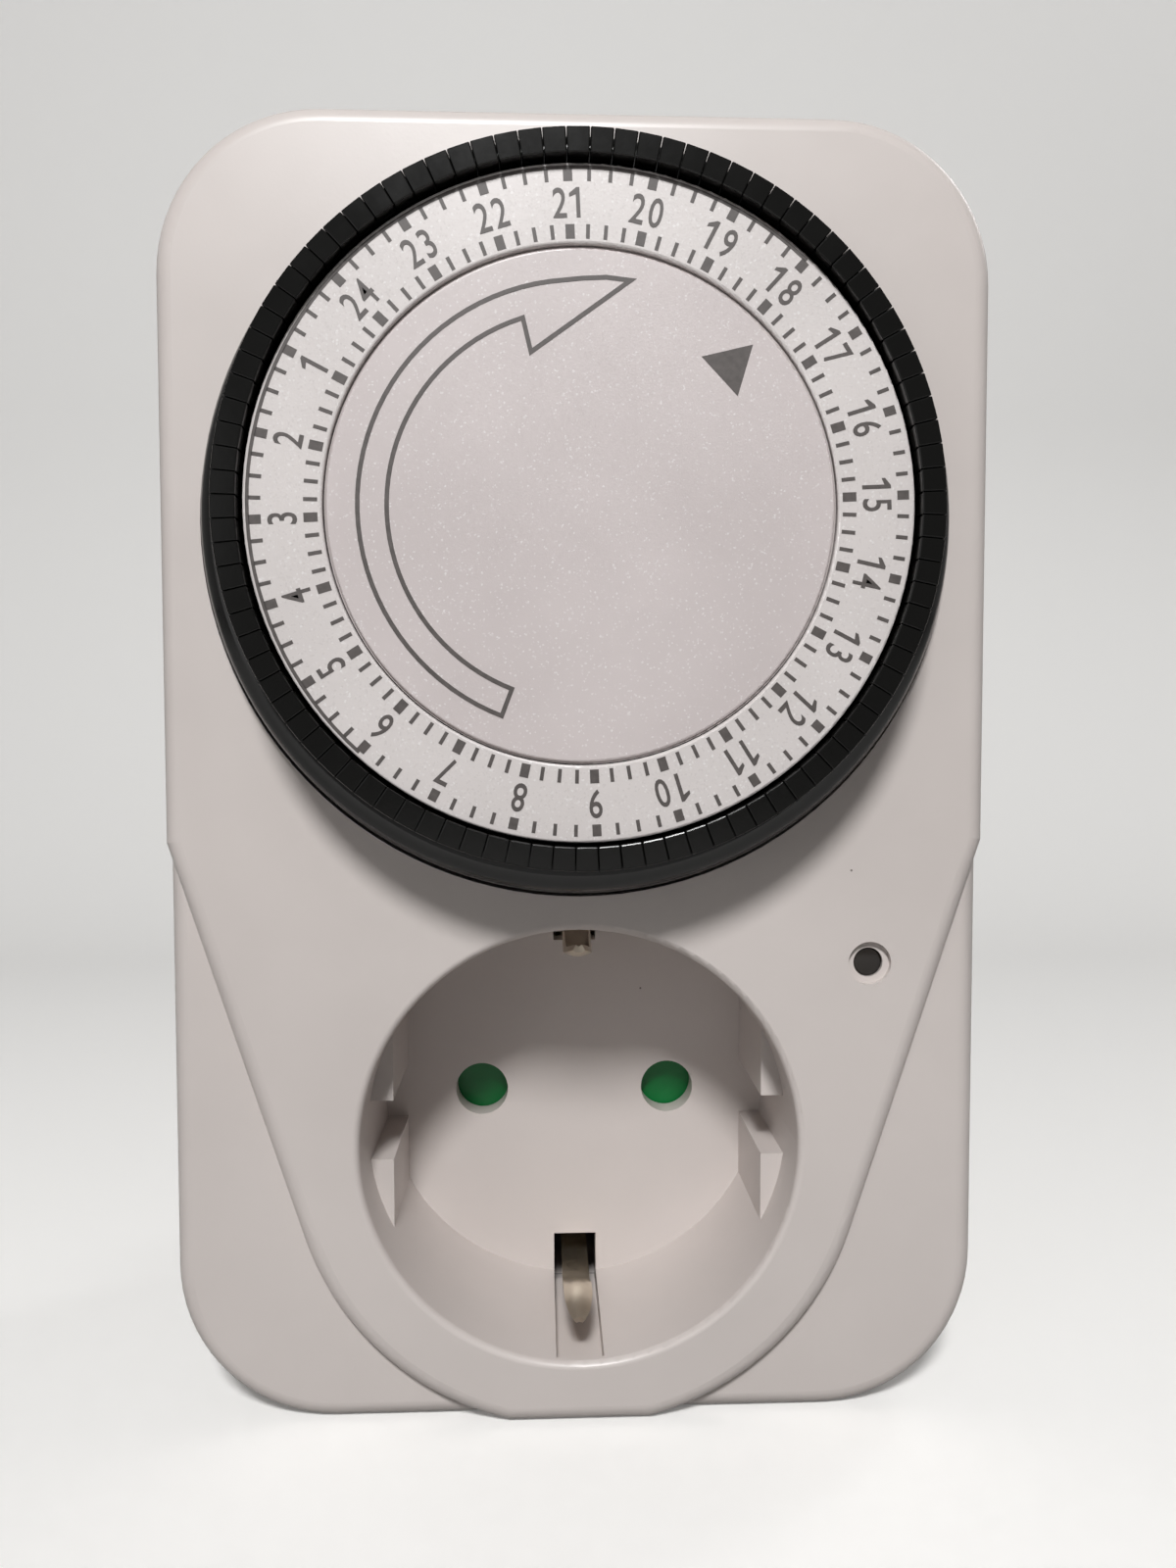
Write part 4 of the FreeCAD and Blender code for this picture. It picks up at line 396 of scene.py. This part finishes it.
# Print on the dial. Everything printed is a film this thick.
INK = 0.025 * MM
ADVANCE = 0.62           # of a number's height, from one figure to the next
STROKE = 0.135           # of a number's height, width of the numeral 1
NARROW = 0.74            # width of the other numerals, as a share of the font's

# A line outside the ticks marks the night, from the one hour to the other.
NIGHT_START, NIGHT_END = 18, HOURS + 6
NIGHT_OUT, NIGHT_WIDTH = 0.1 * MM, 0.28 * MM
ARC_STEP = 3.0           # degrees

# The pointer to the time of day: a filled triangle on the disc, at degrees clockwise from the top.
POINTER_AT, POINTER_MIDDLE, POINTER_REACH = 46.5, 16.2 * MM, 2.42 * MM

# The arrow that shows which way the dial turns: a bar bent round the disc, and a head whose tip is past the top.
# Its angles are degrees clockwise from the top.
ARROW_TAIL, ARROW_NECK, ARROW_NOTCH = 200.8, 352, 341.7
ARROW_OUTER, ARROW_INNER, ARROW_LINE = 17.85 * MM, 15.2 * MM, 0.36 * MM
ARROW_TIP = ((0, 17.95 * MM), (6, 18.15 * MM), (13.6, 18.3 * MM))
ARROW_BARB = (-19.4, 12.45 * MM)
ARROW_STEPS = 40


def hour_angle(hour, first):
    """Degrees clockwise from the top to an hour, with midnight at the first angle."""
    return first - hour * 360 / HOURS


def add_bar(shape, clockwise, inner, outer, width, face):
    """A printed tick: a thin block from one radius to another."""
    made = bmesh.ops.create_cube(shape, size=1.0)
    size = Matrix.Diagonal((width, outer - inner, INK, 1.0))
    bmesh.ops.transform(shape, matrix=on_dial(clockwise, (inner + outer) / 2, face - INK / 2) @ size,
                        verts=made["verts"])


def add_arc(shape, start, end, radius, width, face):
    """A printed line along a circle: its cross-section spun clockwise from start to end."""
    section = bmesh.ops.create_grid(shape, x_segments=1, y_segments=1, size=0.5)
    size = Matrix.Diagonal((INK, width, 1.0, 1.0))
    upright = Matrix.Rotation(math.radians(90), 4, "Y")
    bmesh.ops.transform(shape, matrix=on_dial(start, radius, face - INK / 2) @ upright @ size,
                        verts=section["verts"])
    faces = {each for vert in section["verts"] for each in vert.link_faces}
    edges = {edge for each in faces for edge in each.edges}
    bmesh.ops.spin(shape, geom=section["verts"] + list(edges) + list(faces), cent=(0, 0, DIAL_UP),
                   axis=(0, 1, 0), angle=math.radians(end - start),
                   steps=max(1, round(abs(end - start) / ARC_STEP)))


def add_outline(shape, points, face, line=None):
    """A printed figure through points (clockwise degrees, radius): filled, or only a line inside its edge."""
    verts = [shape.verts.new((radius * math.sin(math.radians(angle)), radius * math.cos(math.radians(angle)), 0))
             for angle, radius in points]
    figure = shape.faces.new(verts)
    figure.normal_update()
    kept = [figure]
    if line:
        kept = bmesh.ops.inset_region(shape, faces=[figure], thickness=line, use_boundary=True,
                                      use_even_offset=True)["faces"]
        bmesh.ops.delete(shape, geom=[figure], context="FACES")
    made = bmesh.ops.extrude_face_region(shape, geom=kept)
    raised = [part for part in made["geom"] if isinstance(part, bmesh.types.BMVert)]
    bmesh.ops.translate(shape, vec=(0, 0, INK), verts=raised)
    whole = {vert for part in kept for vert in part.verts} | set(raised)
    bmesh.ops.transform(shape, matrix=on_dial(0, 0, face), verts=list(whole))


def figure_one(height, stroke):
    """The numeral 1 as a plain stroke with a flag, drawn about its own middle."""
    shape = bmesh.new()
    half, top = stroke / 2, height
    flag = 0.30 * height     # the flag's corners are shares of this
    corners = [(half, 0), (half, top), (half - stroke * 0.8, top), (-half - flag * 0.75, top - flag * 0.65),
               (-half - flag * 0.75, top - flag * 1.05), (-half, top - flag * 0.75), (-half, 0)]
    face = shape.faces.new([shape.verts.new((x, y, 0)) for x, y in corners])
    made = bmesh.ops.extrude_face_region(shape, geom=[face])
    raised = [part for part in made["geom"] if isinstance(part, bmesh.types.BMVert)]
    bmesh.ops.translate(shape, vec=(0, 0, INK), verts=raised)
    return shape


def figure_from_font(figure, height, narrow, heavier=0.009):
    """Another numeral from the built-in font, made heavier and narrower, drawn about its own middle."""
    curve = bpy.data.curves.new("numeral", "FONT")
    curve.body, curve.align_x = figure, "CENTER"
    curve.extrude, curve.offset, curve.resolution_u = 0.5, heavier, 4
    holder = bpy.data.objects.new("numeral", curve)
    bpy.context.scene.collection.objects.link(holder)
    bpy.context.view_layer.update()
    mesh = bpy.data.meshes.new_from_object(holder)
    shape = bmesh.new()
    shape.from_mesh(mesh)
    bmesh.ops.remove_doubles(shape, verts=shape.verts, dist=1e-5)
    low = min(vert.co.y for vert in shape.verts)
    high = max(vert.co.y for vert in shape.verts)
    scale = height / (high - low)
    bmesh.ops.translate(shape, vec=(0, -low, 0.5), verts=shape.verts)
    bmesh.ops.scale(shape, vec=(scale * narrow, scale, INK), verts=shape.verts)
    bpy.data.objects.remove(holder)
    bpy.data.curves.remove(curve)
    bpy.data.meshes.remove(mesh)
    return shape


def add_number(shape, number, clockwise, radius, height, face):
    """A number whose top points outwards, set figure by figure."""
    figures = str(number)
    for index, figure in enumerate(figures):
        single = (figure_one(height, STROKE * height) if figure == "1"
                  else figure_from_font(figure, height, NARROW))
        shift = (index - (len(figures) - 1) / 2) * (ADVANCE * height)
        place = on_dial(clockwise, radius, face) @ Matrix.Translation((shift, -height / 2, 0))
        bmesh.ops.transform(single, matrix=place, verts=single.verts)
        mesh = bpy.data.meshes.new("figure")
        single.to_mesh(mesh)
        single.free()
        shape.from_mesh(mesh)
        bpy.data.meshes.remove(mesh)


def length(name, description, millimetres):
    """A length that a user would change, given here in millimetres."""
    return bpy.props.FloatProperty(name=name, description=description, default=millimetres * MM, unit="LENGTH",
                                   precision=5)


class TimerCaseFinish(bpy.types.PropertyGroup):
    """Colours, gloss and seam of the case."""
    pale: bpy.props.StringProperty(name="Pale", description="Lighter tone of the case, sRGB hex",
                                   default="cfc7c3")
    deep: bpy.props.StringProperty(name="Deep", description="Deeper tone of the case, sRGB hex",
                                   default="c9c1bd")
    rough: bpy.props.FloatProperty(name="Roughness", description="Roughness of the case", default=0.36,
                                   min=0.05, max=1.0, subtype="FACTOR")
    seam: bpy.props.FloatProperty(name="Seam", description="Where the two shells meet, front to back",
                                  default=CASE_HIGH.y, unit="LENGTH", precision=5)


class TimerDialPrint(bpy.types.PropertyGroup):
    """Sizes of what is printed on the dial."""
    first: bpy.props.FloatProperty(name="Midnight", description="Degrees clockwise from the top to midnight",
                                   default=312.5)
    height: length("Numbers", "Height of the numbers", 2.32)
    number_radius: length("Number circle", "Radius to the middle of the numbers", 23.5)
    inner_start: length("Inner ticks start", "Radius where the inner ticks start", 20.75)
    inner_end: length("Inner ticks end", "Radius where the inner ticks end", 21.85)
    outer_start: length("Outer ticks start", "Radius where the outer ticks start", 25.15)
    outer_end: length("Outer ticks end", "Radius where the outer ticks end", 26.1)
    hour_width: length("Hour tick", "Width of a tick at an hour", 0.72)
    quarter_width: length("Quarter tick", "Width of a tick at a quarter", 0.3)


class TimerSegmentSizes(bpy.types.PropertyGroup):
    """Sizes of the segments that are pushed in to set the times."""
    inner: length("Inside", "Radius to the inside of a segment", 26.85)
    outer: length("Outside", "Radius to the outside of a segment", 28.8)
    gap: length("Gap", "Gap between two heads", 0.05)
    corner: length("Corner", "Softened edge of a head", 0.1)
    head: length("Head", "Height of a head", 2.8)
    foot: length("Foot", "Width of a foot", 1.1)


class TimerLensSizes(bpy.types.PropertyGroup):
    """Sizes of the lamp's smoked lens."""
    radius: length("Radius", "Radius of the lens", 1.29)
    thick: length("Thickness", "Thickness of the lens", 0.6)
    sunk: length("Depth", "Lens below the face of the case", 0.75)


class TimerDrumSizes(bpy.types.PropertyGroup):
    """Sizes of the rounded collar round the dial. Front and back are places along the frame's Y."""
    inner: length("Inside", "Radius to the inside of the collar", 29.75)
    outer: length("Outside", "Radius to the outside of the collar", 31.5)
    front: length("Front", "Front of the collar", -58.9)
    back: length("Back", "Back of the collar", -57.0)
    rounding: length("Rounding", "Rounded front edge of the collar", 1.6)


class TimerContactSizes(bpy.types.PropertyGroup):
    """Sizes of the socket's earth contact."""
    thick: length("Sheet", "Thickness of the sheet", 0.6)
    tip: length("Tip", "Width at the narrowed tip", 1.1)
    swell: length("Swell", "How far an arm swells inwards", 2.4)
    swell_start: length("Swell start", "Level where the swell starts", 41.65)
    swell_peak: length("Swell peak", "Level of the top of the swell", 48.8)
    crown: length("Crown", "How far the edges fall back from the middle", 0.4)


class TimerStageSettings(bpy.types.PropertyGroup):
    """Camera and light."""
    lens: bpy.props.FloatProperty(name="Lens", description="Focal length over a 36 mm long side", default=26.14)
    key: bpy.props.FloatProperty(name="Key light", description="Power of the key light", default=4.6,
                                 unit="POWER")
    fill: bpy.props.FloatProperty(name="Fill light", description="Power of the fill light", default=0.4,
                                  unit="POWER")
    back: bpy.props.FloatProperty(name="Back lights", description="Power of each of the two lights behind",
                                  default=3.2, unit="POWER")
    room: bpy.props.FloatProperty(name="Room", description="Strength of the room's soft light", default=0.1,
                                  min=0.0)


class TIMER_OT_case(bpy.types.Operator):
    """Finish both shells, the plug and the slider"""
    bl_idname = "timer.case"
    bl_label = "Case and plug"

    def execute(self, context):
        look = context.scene.timer_case
        # ABS in warm white from a spark-eroded mould: satin, with soft broad highlights.
        paint(["front_case", "rear_case"],
              specked_case_plastic("satin_abs_warm_white", look.deep, look.pale, look.rough, look.seam))
        # The same ABS from another mould: a little duller.
        paint(["plug_body"], moulded_plastic("satin_abs_plug", "c8c0bb", "cec6c1", 0.4))
        # The same again, a shade deeper, as small pieces come out.
        paint(["override_slider"], moulded_plastic("satin_abs_slider", "c4bcb7", "cac2bd", 0.38))
        return {"FINISHED"}


class TIMER_OT_metal(bpy.types.Operator):
    """Finish pins, earth contacts, strips, arbors and screws"""
    bl_idname = "timer.metal"
    bl_label = "Metal parts"

    def execute(self, context):
        # Turned brass under nickel: a warm silver, with sharp highlights along the pins.
        paint(["live_pin", "neutral_pin"],
              worked_metal("nickel_plated_turned_brass", "b9b3a4", "c9c4b7", 0.24, 0.25, "Y"))
        # Bronze strip under thin nickel: silver with some yellow of the bronze in it.
        paint(["plug_earth_clip"],
              worked_metal("nickel_plated_bronze_strip", "cfc3ae", "e0d6c4", 0.28, 0.3, "Y"))
        # Bare drawn steel: a neutral grey that shines in lines.
        paint(["earth_post", "lever_pin", "arbor_first", "arbor_second"],
              worked_metal("drawn_steel", "8f8f8d", "a3a3a0", 0.3, 0.2, "Y"))
        # Brass stamped from rolled sheet: yellow, with soft streaks.
        paint(["neutral_contact", "live_contact", "live_feed_strip", "live_return_strip", "moving_contact",
               "fixed_contact"], worked_metal("stamped_brass", "b08a4a", "c79f58", 0.3, 0.3, "Z"))
        # Hard-drawn spring steel: a darker grey than the pins, and as shiny.
        paint(["shutter_spring"], worked_metal("drawn_spring_steel", "77787a", "8e8f90", 0.3, 0.2, "Z"))
        # Steel under zinc: pale grey with a little yellow, and a softer shine.
        paint(["case_screws", "chassis_screws"],
              worked_metal("zinc_plated_steel", "9a9a92", "b1b1a8", 0.33, 0.3, "X"))
        # Rolled sheet steel under zinc: pale grey, with broad dull streaks.
        paint(["motor_case"], worked_metal("zinc_plated_rolled_steel", "9b9b97", "aaaaa5", 0.36, 0.5, "X"))
        return {"FINISHED"}


class TIMER_OT_contact(bpy.types.Operator):
    """Shape the socket's earth contact, crowned across and narrowed at both tips"""
    bl_idname = "timer.contact"
    bl_label = "Earth contact"

    def execute(self, context):
        sizes = context.scene.timer_contact
        line, across = contact_line(sizes), 6
        arms = 0.04          # metres towards the viewer: past here the strip is its two arms
        width = CLIP_HIGH.x - CLIP_LOW.x
        shape = bmesh.new()
        bmesh.ops.create_grid(shape, x_segments=across, y_segments=len(line) - 1, size=0.5)
        for vert in shape.verts:
            up, level = line[round((vert.co.y + 0.5) * (len(line) - 1))]
            lean = min(1.0, max(0.0, (CLIP_HIGH.z - sizes.thick - abs(up)) / sizes.swell))
            lean = lean if level > arms else 0.0
            reach = max(0.0, (level - sizes.swell_peak) / (-CLIP_LOW.y - sizes.swell_peak))
            wide = math.sqrt(width ** 2 - reach ** 2 * (width ** 2 - sizes.tip ** 2))
            fall = sizes.crown * lean * (vert.co.x * 2) ** 2
            vert.co = (vert.co.x * wide, -level, up + math.copysign(fall, up))
        bmesh.ops.recalc_face_normals(shape, faces=shape.faces)
        bmesh.ops.solidify(shape, geom=shape.faces[:], thickness=sizes.thick)
        # Spring bronze under nickel, rubbed by plugs: a bright warm silver with a wide, streaked highlight.
        metal = worked_metal("nickel_plated_spring_bronze", "d6cab6", "e8dfcf", 0.34, 0.5, "Y")
        piece = place_piece("socket_contact", to_mesh("socket_contact", shape), metal, "case")
        smoothed(piece.data, 50)
        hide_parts("socket_earth_clip")
        return {"FINISHED"}


class TIMER_OT_socket(bpy.types.Operator):
    """Finish the shutter, its cover, the lamp and its resistor, and shape the lens over the lamp"""
    bl_idname = "timer.socket"
    bl_label = "Socket parts"

    def execute(self, context):
        # Green polypropylene: a deep even colour, slightly waxy.
        paint(["shutter"], moulded_plastic("moulded_green_polypropylene", "006a30", "00803c", 0.36, ior=1.45))
        # Nylon without dye: ivory and nearly dull.
        paint(["shutter_cover", "contact_spacer"],
              moulded_plastic("moulded_natural_nylon", "c6c0b0", "cfc9ba", 0.5))
        # Drawn glass, smoked by its lamp: dark, with a sharp wavy reflection.
        paint(["neon_lamp"], clear_glass("drawn_lamp_glass", "33291f"))
        # Ceramic under tan lacquer: an even tan with a soft shine.
        paint(["lamp_resistor"], moulded_plastic("lacquered_ceramic", "a8865a", "b8966a", 0.4))
        lamp_low, lamp_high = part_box("neon_lamp")
        sizes = context.scene.timer_lens
        shape = bmesh.new()
        bmesh.ops.create_cone(shape, cap_ends=True, segments=48, radius1=sizes.radius, radius2=sizes.radius,
                              depth=sizes.thick)
        upper = [edge for edge in shape.edges if all(vert.co.z > 0 for vert in edge.verts)]
        middle = ((lamp_low.x + lamp_high.x) / 2, CASE_LOW.y + sizes.sunk + sizes.thick / 2,
                  (lamp_low.z + lamp_high.z) / 2)
        domed = 0.4          # of the lens's thickness
        bmesh.ops.bevel(shape, geom=upper, offset=sizes.thick * domed, affect="EDGES", segments=4, profile=0.5,
                        material=-1)
        bmesh.ops.transform(shape, matrix=Matrix.Translation(middle) @ Matrix.Rotation(math.radians(90), 4, "X"),
                            verts=shape.verts)
        # Smoked acrylic from a polished mould: nearly black, with a bright sharp highlight.
        acrylic = moulded_plastic("polished_smoked_acrylic", "1d1814", "2a221c", 0.14, 0.8, 0.002)
        place_piece("lamp_lens", smoothed(to_mesh("lamp_lens", shape)), acrylic, "case")
        return {"FINISHED"}


class TIMER_OT_works(bpy.types.Operator):
    """Finish the chassis, the gears and the lever"""
    bl_idname = "timer.works"
    bl_label = "Works"

    def execute(self, context):
        # Grey ABS, as moulded, for a piece that nobody sees: even and dull.
        paint(["chassis"], moulded_plastic("moulded_grey_abs", "5c5d5e", "666768", 0.5))
        # Acetal: milky white and smooth, with a soft shine.
        paint(["gear_first", "gear_second", "motor_pinion"],
              moulded_plastic("moulded_white_acetal", "d8d5cb", "dedbd2", 0.4))
        # The same acetal, yellowed a little beside the contacts.
        paint(["sense_lever"], moulded_plastic("moulded_ivory_acetal", "cfc9bb", "d6d0c3", 0.42))
        return {"FINISHED"}


class TIMER_OT_dial(bpy.types.Operator):
    """Finish the drum, the number ring and the centre disc, and shape the disc's rim and the drum's collar"""
    bl_idname = "timer.dial"
    bl_label = "Dial"

    def execute(self, context):
        # Black ABS from a smooth mould: deep black between the segments, with little shine.
        paint(["dial_drum"], moulded_plastic("smooth_black_abs", "030303", "060605", 0.2, 0.4, 0.003, ior=1.4))
        # Polystyrene filled with flake, in a pale grey: a silky sheen, with painted glints here and there.
        paint(["number_ring"], pearl_plastic("moulded_pearl_polystyrene", "d1cbc9", "d7d1cf", 0.34, 0.16, 0.3))
        # The same in a pinker grey, with finer flake and the same painted glints.
        paint(["centre_disc"], pearl_plastic("moulded_rosy_polystyrene", "c6bdbc", "cdc4c3", 0.36, 0.13, 0.32))
        # The thin edge that stands in the gap round the disc.
        within, beyond, front, back = 0.05 * MM, 0.16 * MM, 0.3 * MM, 0.9 * MM
        rim = hoop_shape(DISC_RADIUS - within, DISC_RADIUS + beyond, DISC_FACE + front, DISC_FACE + back)
        # Polystyrene with painted shade: darker than the disc, standing for the shade in the gap, a plain line
        # round the disc.
        place_piece("disc_rim", smoothed(to_mesh("disc_rim", rim)),
                    moulded_plastic("polystyrene_with_painted_gap_shade", "a49c9a", "aca4a2", 0.4), "case")
        drum = context.scene.timer_drum
        collar = hoop_shape(drum.inner, drum.outer, drum.front, drum.back, drum.rounding)
        # Black ABS from a polished mould: deep black, with a clear bright streak along its rounded edge.
        place_piece("drum_collar", smoothed(to_mesh("drum_collar", collar)),
                    moulded_plastic("polished_black_abs", "030303", "060605", 0.14, 0.6, 0.002, ior=1.53),
                    "dial")
        return {"FINISHED"}


class TIMER_OT_segments(bpy.types.Operator):
    """Shape the segments of each hour, four to a group that is pushed in together"""
    bl_idname = "timer.segments"
    bl_label = "Segments"

    def execute(self, context):
        sizes, first = context.scene.timer_segments, context.scene.timer_print.first
        # Black ABS, polished by fingers: deep black, with small bright highlights on the edges.
        plastic = moulded_plastic("rubbed_black_abs", "030302", "050504", 0.15, 0.4, 0.003, ior=1.38)
        single = to_mesh("single_segment", segment_shape(sizes))
        for hour in range(HOURS):
            shape = bmesh.new()
            for quarter in range(QUARTERS):
                done = len(shape.verts)
                shape.from_mesh(single)
                shape.verts.ensure_lookup_table()
                place = on_dial(first - (hour * QUARTERS + quarter + 0.5) * QUARTER, 0.0, SEGMENT_FACE)
                bmesh.ops.transform(shape, matrix=place @ Matrix.Scale(MM, 4), verts=shape.verts[done:])
            name = f"segment_group_{hour:02d}"
            piece = place_piece(name, to_mesh(name, shape), plastic, f"segments_{hour:02d}")
            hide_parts(f"segments_{hour:02d}")
        bpy.data.meshes.remove(single)
        return {"FINISHED"}


class TIMER_OT_print(bpy.types.Operator):
    """Print the numbers, the ticks, the night line, the pointer and the arrow"""
    bl_idname = "timer.dial_print"
    bl_label = "Dial print"

    def execute(self, context):
        sizes = context.scene.timer_print
        # Ink printed by a soft pad: a flat dark grey, dull beside the sheen under it.
        ink = printing_ink("pad_printed_grey_ink", "4b4644", "5a5452")
        shape = bmesh.new()
        for tick in range(HOURS * QUARTERS):
            angle = sizes.first - tick * QUARTER
            width = sizes.hour_width if tick % QUARTERS == 0 else sizes.quarter_width
            add_bar(shape, angle, sizes.inner_start, sizes.inner_end, width, RING_FACE)
            add_bar(shape, angle, sizes.outer_start, sizes.outer_end, width, RING_FACE)
        add_arc(shape, hour_angle(NIGHT_END, sizes.first), hour_angle(NIGHT_START, sizes.first),
                sizes.outer_end + NIGHT_OUT, NIGHT_WIDTH, RING_FACE)
        for hour in range(1, HOURS + 1):
            add_number(shape, hour, hour_angle(hour, sizes.first), sizes.number_radius, sizes.height, RING_FACE)
        place_piece("ring_print", to_mesh("ring_print", shape), ink, "dial")

        shape = bmesh.new()
        corners = []
        for turn in (0, 120, 240):
            across = POINTER_REACH * math.sin(math.radians(turn))
            out = POINTER_MIDDLE + POINTER_REACH * math.cos(math.radians(turn))
            corners.append((POINTER_AT + math.degrees(math.atan2(across, out)), math.hypot(across, out)))
        add_outline(shape, corners, DISC_FACE)
        outside = [(ARROW_TAIL + (ARROW_NECK - ARROW_TAIL) * step / ARROW_STEPS, ARROW_OUTER)
                   for step in range(ARROW_STEPS + 1)]
        inside = [(ARROW_NOTCH - (ARROW_NOTCH - ARROW_TAIL) * step / ARROW_STEPS, ARROW_INNER)
                  for step in range(ARROW_STEPS + 1)]
        add_outline(shape, [*outside, *ARROW_TIP, ARROW_BARB, *inside], DISC_FACE, ARROW_LINE)
        place_piece("disc_print", to_mesh("disc_print", shape), ink, "case")
        return {"FINISHED"}


class TIMER_OT_stage(bpy.types.Operator):
    """Lay the pale floor, set the lights and place the camera"""
    bl_idname = "timer.stage"
    bl_label = "Stage"

    def execute(self, context):
        settings = context.scene.timer_stage
        shape = bmesh.new()
        low = CAD_BOX[0].z
        back, reach, bend = 0.35, 0.9, 0.2      # metres to the wall, half the width, and the curve between them
        edge = [shape.verts.new((-reach, -reach, low)), shape.verts.new((-reach, back - bend, low))]
        shape.edges.new(edge)
        swept = bmesh.ops.spin(shape, geom=[edge[1]], cent=(0, back - bend, low + bend), axis=(1, 0, 0),
                               angle=math.radians(90), steps=16)
        top = [part for part in swept["geom_last"] if isinstance(part, bmesh.types.BMVert)][0]
        shape.edges.new((top, shape.verts.new((-reach, back, low + reach))))
        made = bmesh.ops.extrude_edge_only(shape, edges=list(shape.edges))
        moved = [part for part in made["geom"] if isinstance(part, bmesh.types.BMVert)]
        bmesh.ops.translate(shape, vec=(2 * reach, 0, 0), verts=moved)
        for face in shape.faces:
            face.smooth = True
        floor = bpy.data.objects.new("studio_floor", to_mesh("studio_floor", shape))
        bpy.context.scene.collection.objects.link(floor)
        # Matt paper off a roll: pale and without a highlight.
        floor.data.materials.append(studio_paper("matt_studio_paper", "f4f3f1", "f7f6f4", "868482"))

        world = bpy.data.worlds.new("soft_room")
        seen, mirrored = 0.9, 0.3      # strength of the room to the camera, and the share of it that gloss shows
        world.use_nodes = True
        background = world.node_tree.nodes["Background"]
        background.inputs["Color"].default_value = linear("f2f0ee")
        strength = add(world, "ShaderNodeMapRange",
                       {"Value": seen_share(world, mirrored), "To Min": settings.room, "To Max": seen})
        world.node_tree.links.new(strength.outputs["Result"], background.inputs["Strength"])
        context.scene.world = world
        middle = Vector((0, (CASE_LOW.y + CASE_HIGH.y) / 2, (CASE_LOW.z + CASE_HIGH.z) / 2))
        # Name, power, width and distance in metres, degrees to the right of the front, and degrees up.
        lights = (("key_light", settings.key, 0.12, 0.7, -5, 42),
                  ("fill_light", settings.fill, 0.5, 0.8, -35, 12),
                  ("rim_light", settings.back, 0.4, 0.8, 135, 35),
                  ("back_light", settings.back, 0.5, 0.8, 220, 25))
        for name, power, width, away, side, rise in lights:
            lamp = bpy.data.lights.new(name, "AREA")
            lamp.energy, lamp.size, lamp.shape = power, width, "DISK"
            holder = bpy.data.objects.new(name, lamp)
            bearing, height = math.radians(side), math.radians(rise)
            out = Vector((math.sin(bearing) * math.cos(height), -math.cos(bearing) * math.cos(height),
                          math.sin(height)))
            holder.location = middle + out * away
            holder.rotation_euler = out.to_track_quat("Z", "Y").to_euler()
            context.scene.collection.objects.link(holder)

        # Place and turn of the camera, found from the socket's and the dial's circles and the sides of the case.
        stand = Vector((-3.3 * MM, -154.2 * MM, 36.6 * MM))
        pitch, yaw, roll = 2.64, 2.34, 0.08      # degrees
        camera = bpy.data.cameras.new("photo_camera")
        camera.sensor_width, camera.lens = 36.0, settings.lens
        camera.clip_start, camera.clip_end = 0.005, 10.0
        holder = bpy.data.objects.new("photo_camera", camera)
        aim = (Matrix.Rotation(math.radians(-yaw), 4, "Z") @ Matrix.Rotation(math.radians(90 - pitch), 4, "X")
               @ Matrix.Rotation(math.radians(-roll), 4, "Z"))
        holder.matrix_world = Matrix.Translation(stand) @ aim
        context.scene.collection.objects.link(holder)
        context.scene.camera = holder
        context.scene.view_settings.view_transform = "Standard"
        return {"FINISHED"}


OPERATORS = (TIMER_OT_case, TIMER_OT_metal, TIMER_OT_contact, TIMER_OT_socket, TIMER_OT_works, TIMER_OT_dial,
             TIMER_OT_segments, TIMER_OT_print, TIMER_OT_stage)
GROUPS = {"timer_case": TimerCaseFinish, "timer_contact": TimerContactSizes, "timer_lens": TimerLensSizes,
          "timer_segments": TimerSegmentSizes, "timer_drum": TimerDrumSizes, "timer_print": TimerDialPrint,
          "timer_stage": TimerStageSettings}


class TIMER_PT_panel(bpy.types.Panel):
    """Lists the steps that dress the timer switch"""
    bl_idname = "TIMER_PT_panel"
    bl_label = "Timer switch"
    bl_space_type = "VIEW_3D"
    bl_region_type = "UI"
    bl_category = "Timer switch"

    def draw(self, context):
        for operator in OPERATORS:
            self.layout.operator(operator.bl_idname)
        for name, group in GROUPS.items():
            for setting in group.__annotations__:
                self.layout.prop(getattr(context.scene, name), setting)


def register():
    """Register the classes, and hang the settings on the scene."""
    for kind in (*GROUPS.values(), *OPERATORS, TIMER_PT_panel):
        bpy.utils.register_class(kind)
    for name, group in GROUPS.items():
        setattr(bpy.types.Scene, name, bpy.props.PointerProperty(type=group))


def unregister():
    """Undo what register did."""
    for name in GROUPS:
        delattr(bpy.types.Scene, name)
    for kind in (TIMER_PT_panel, *reversed(OPERATORS), *GROUPS.values()):
        bpy.utils.unregister_class(kind)


def main():
    register()
    for operator in OPERATORS:
        group, name = operator.bl_idname.split(".")
        getattr(getattr(bpy.ops, group), name)()


if __name__ == "__main__":
    main()
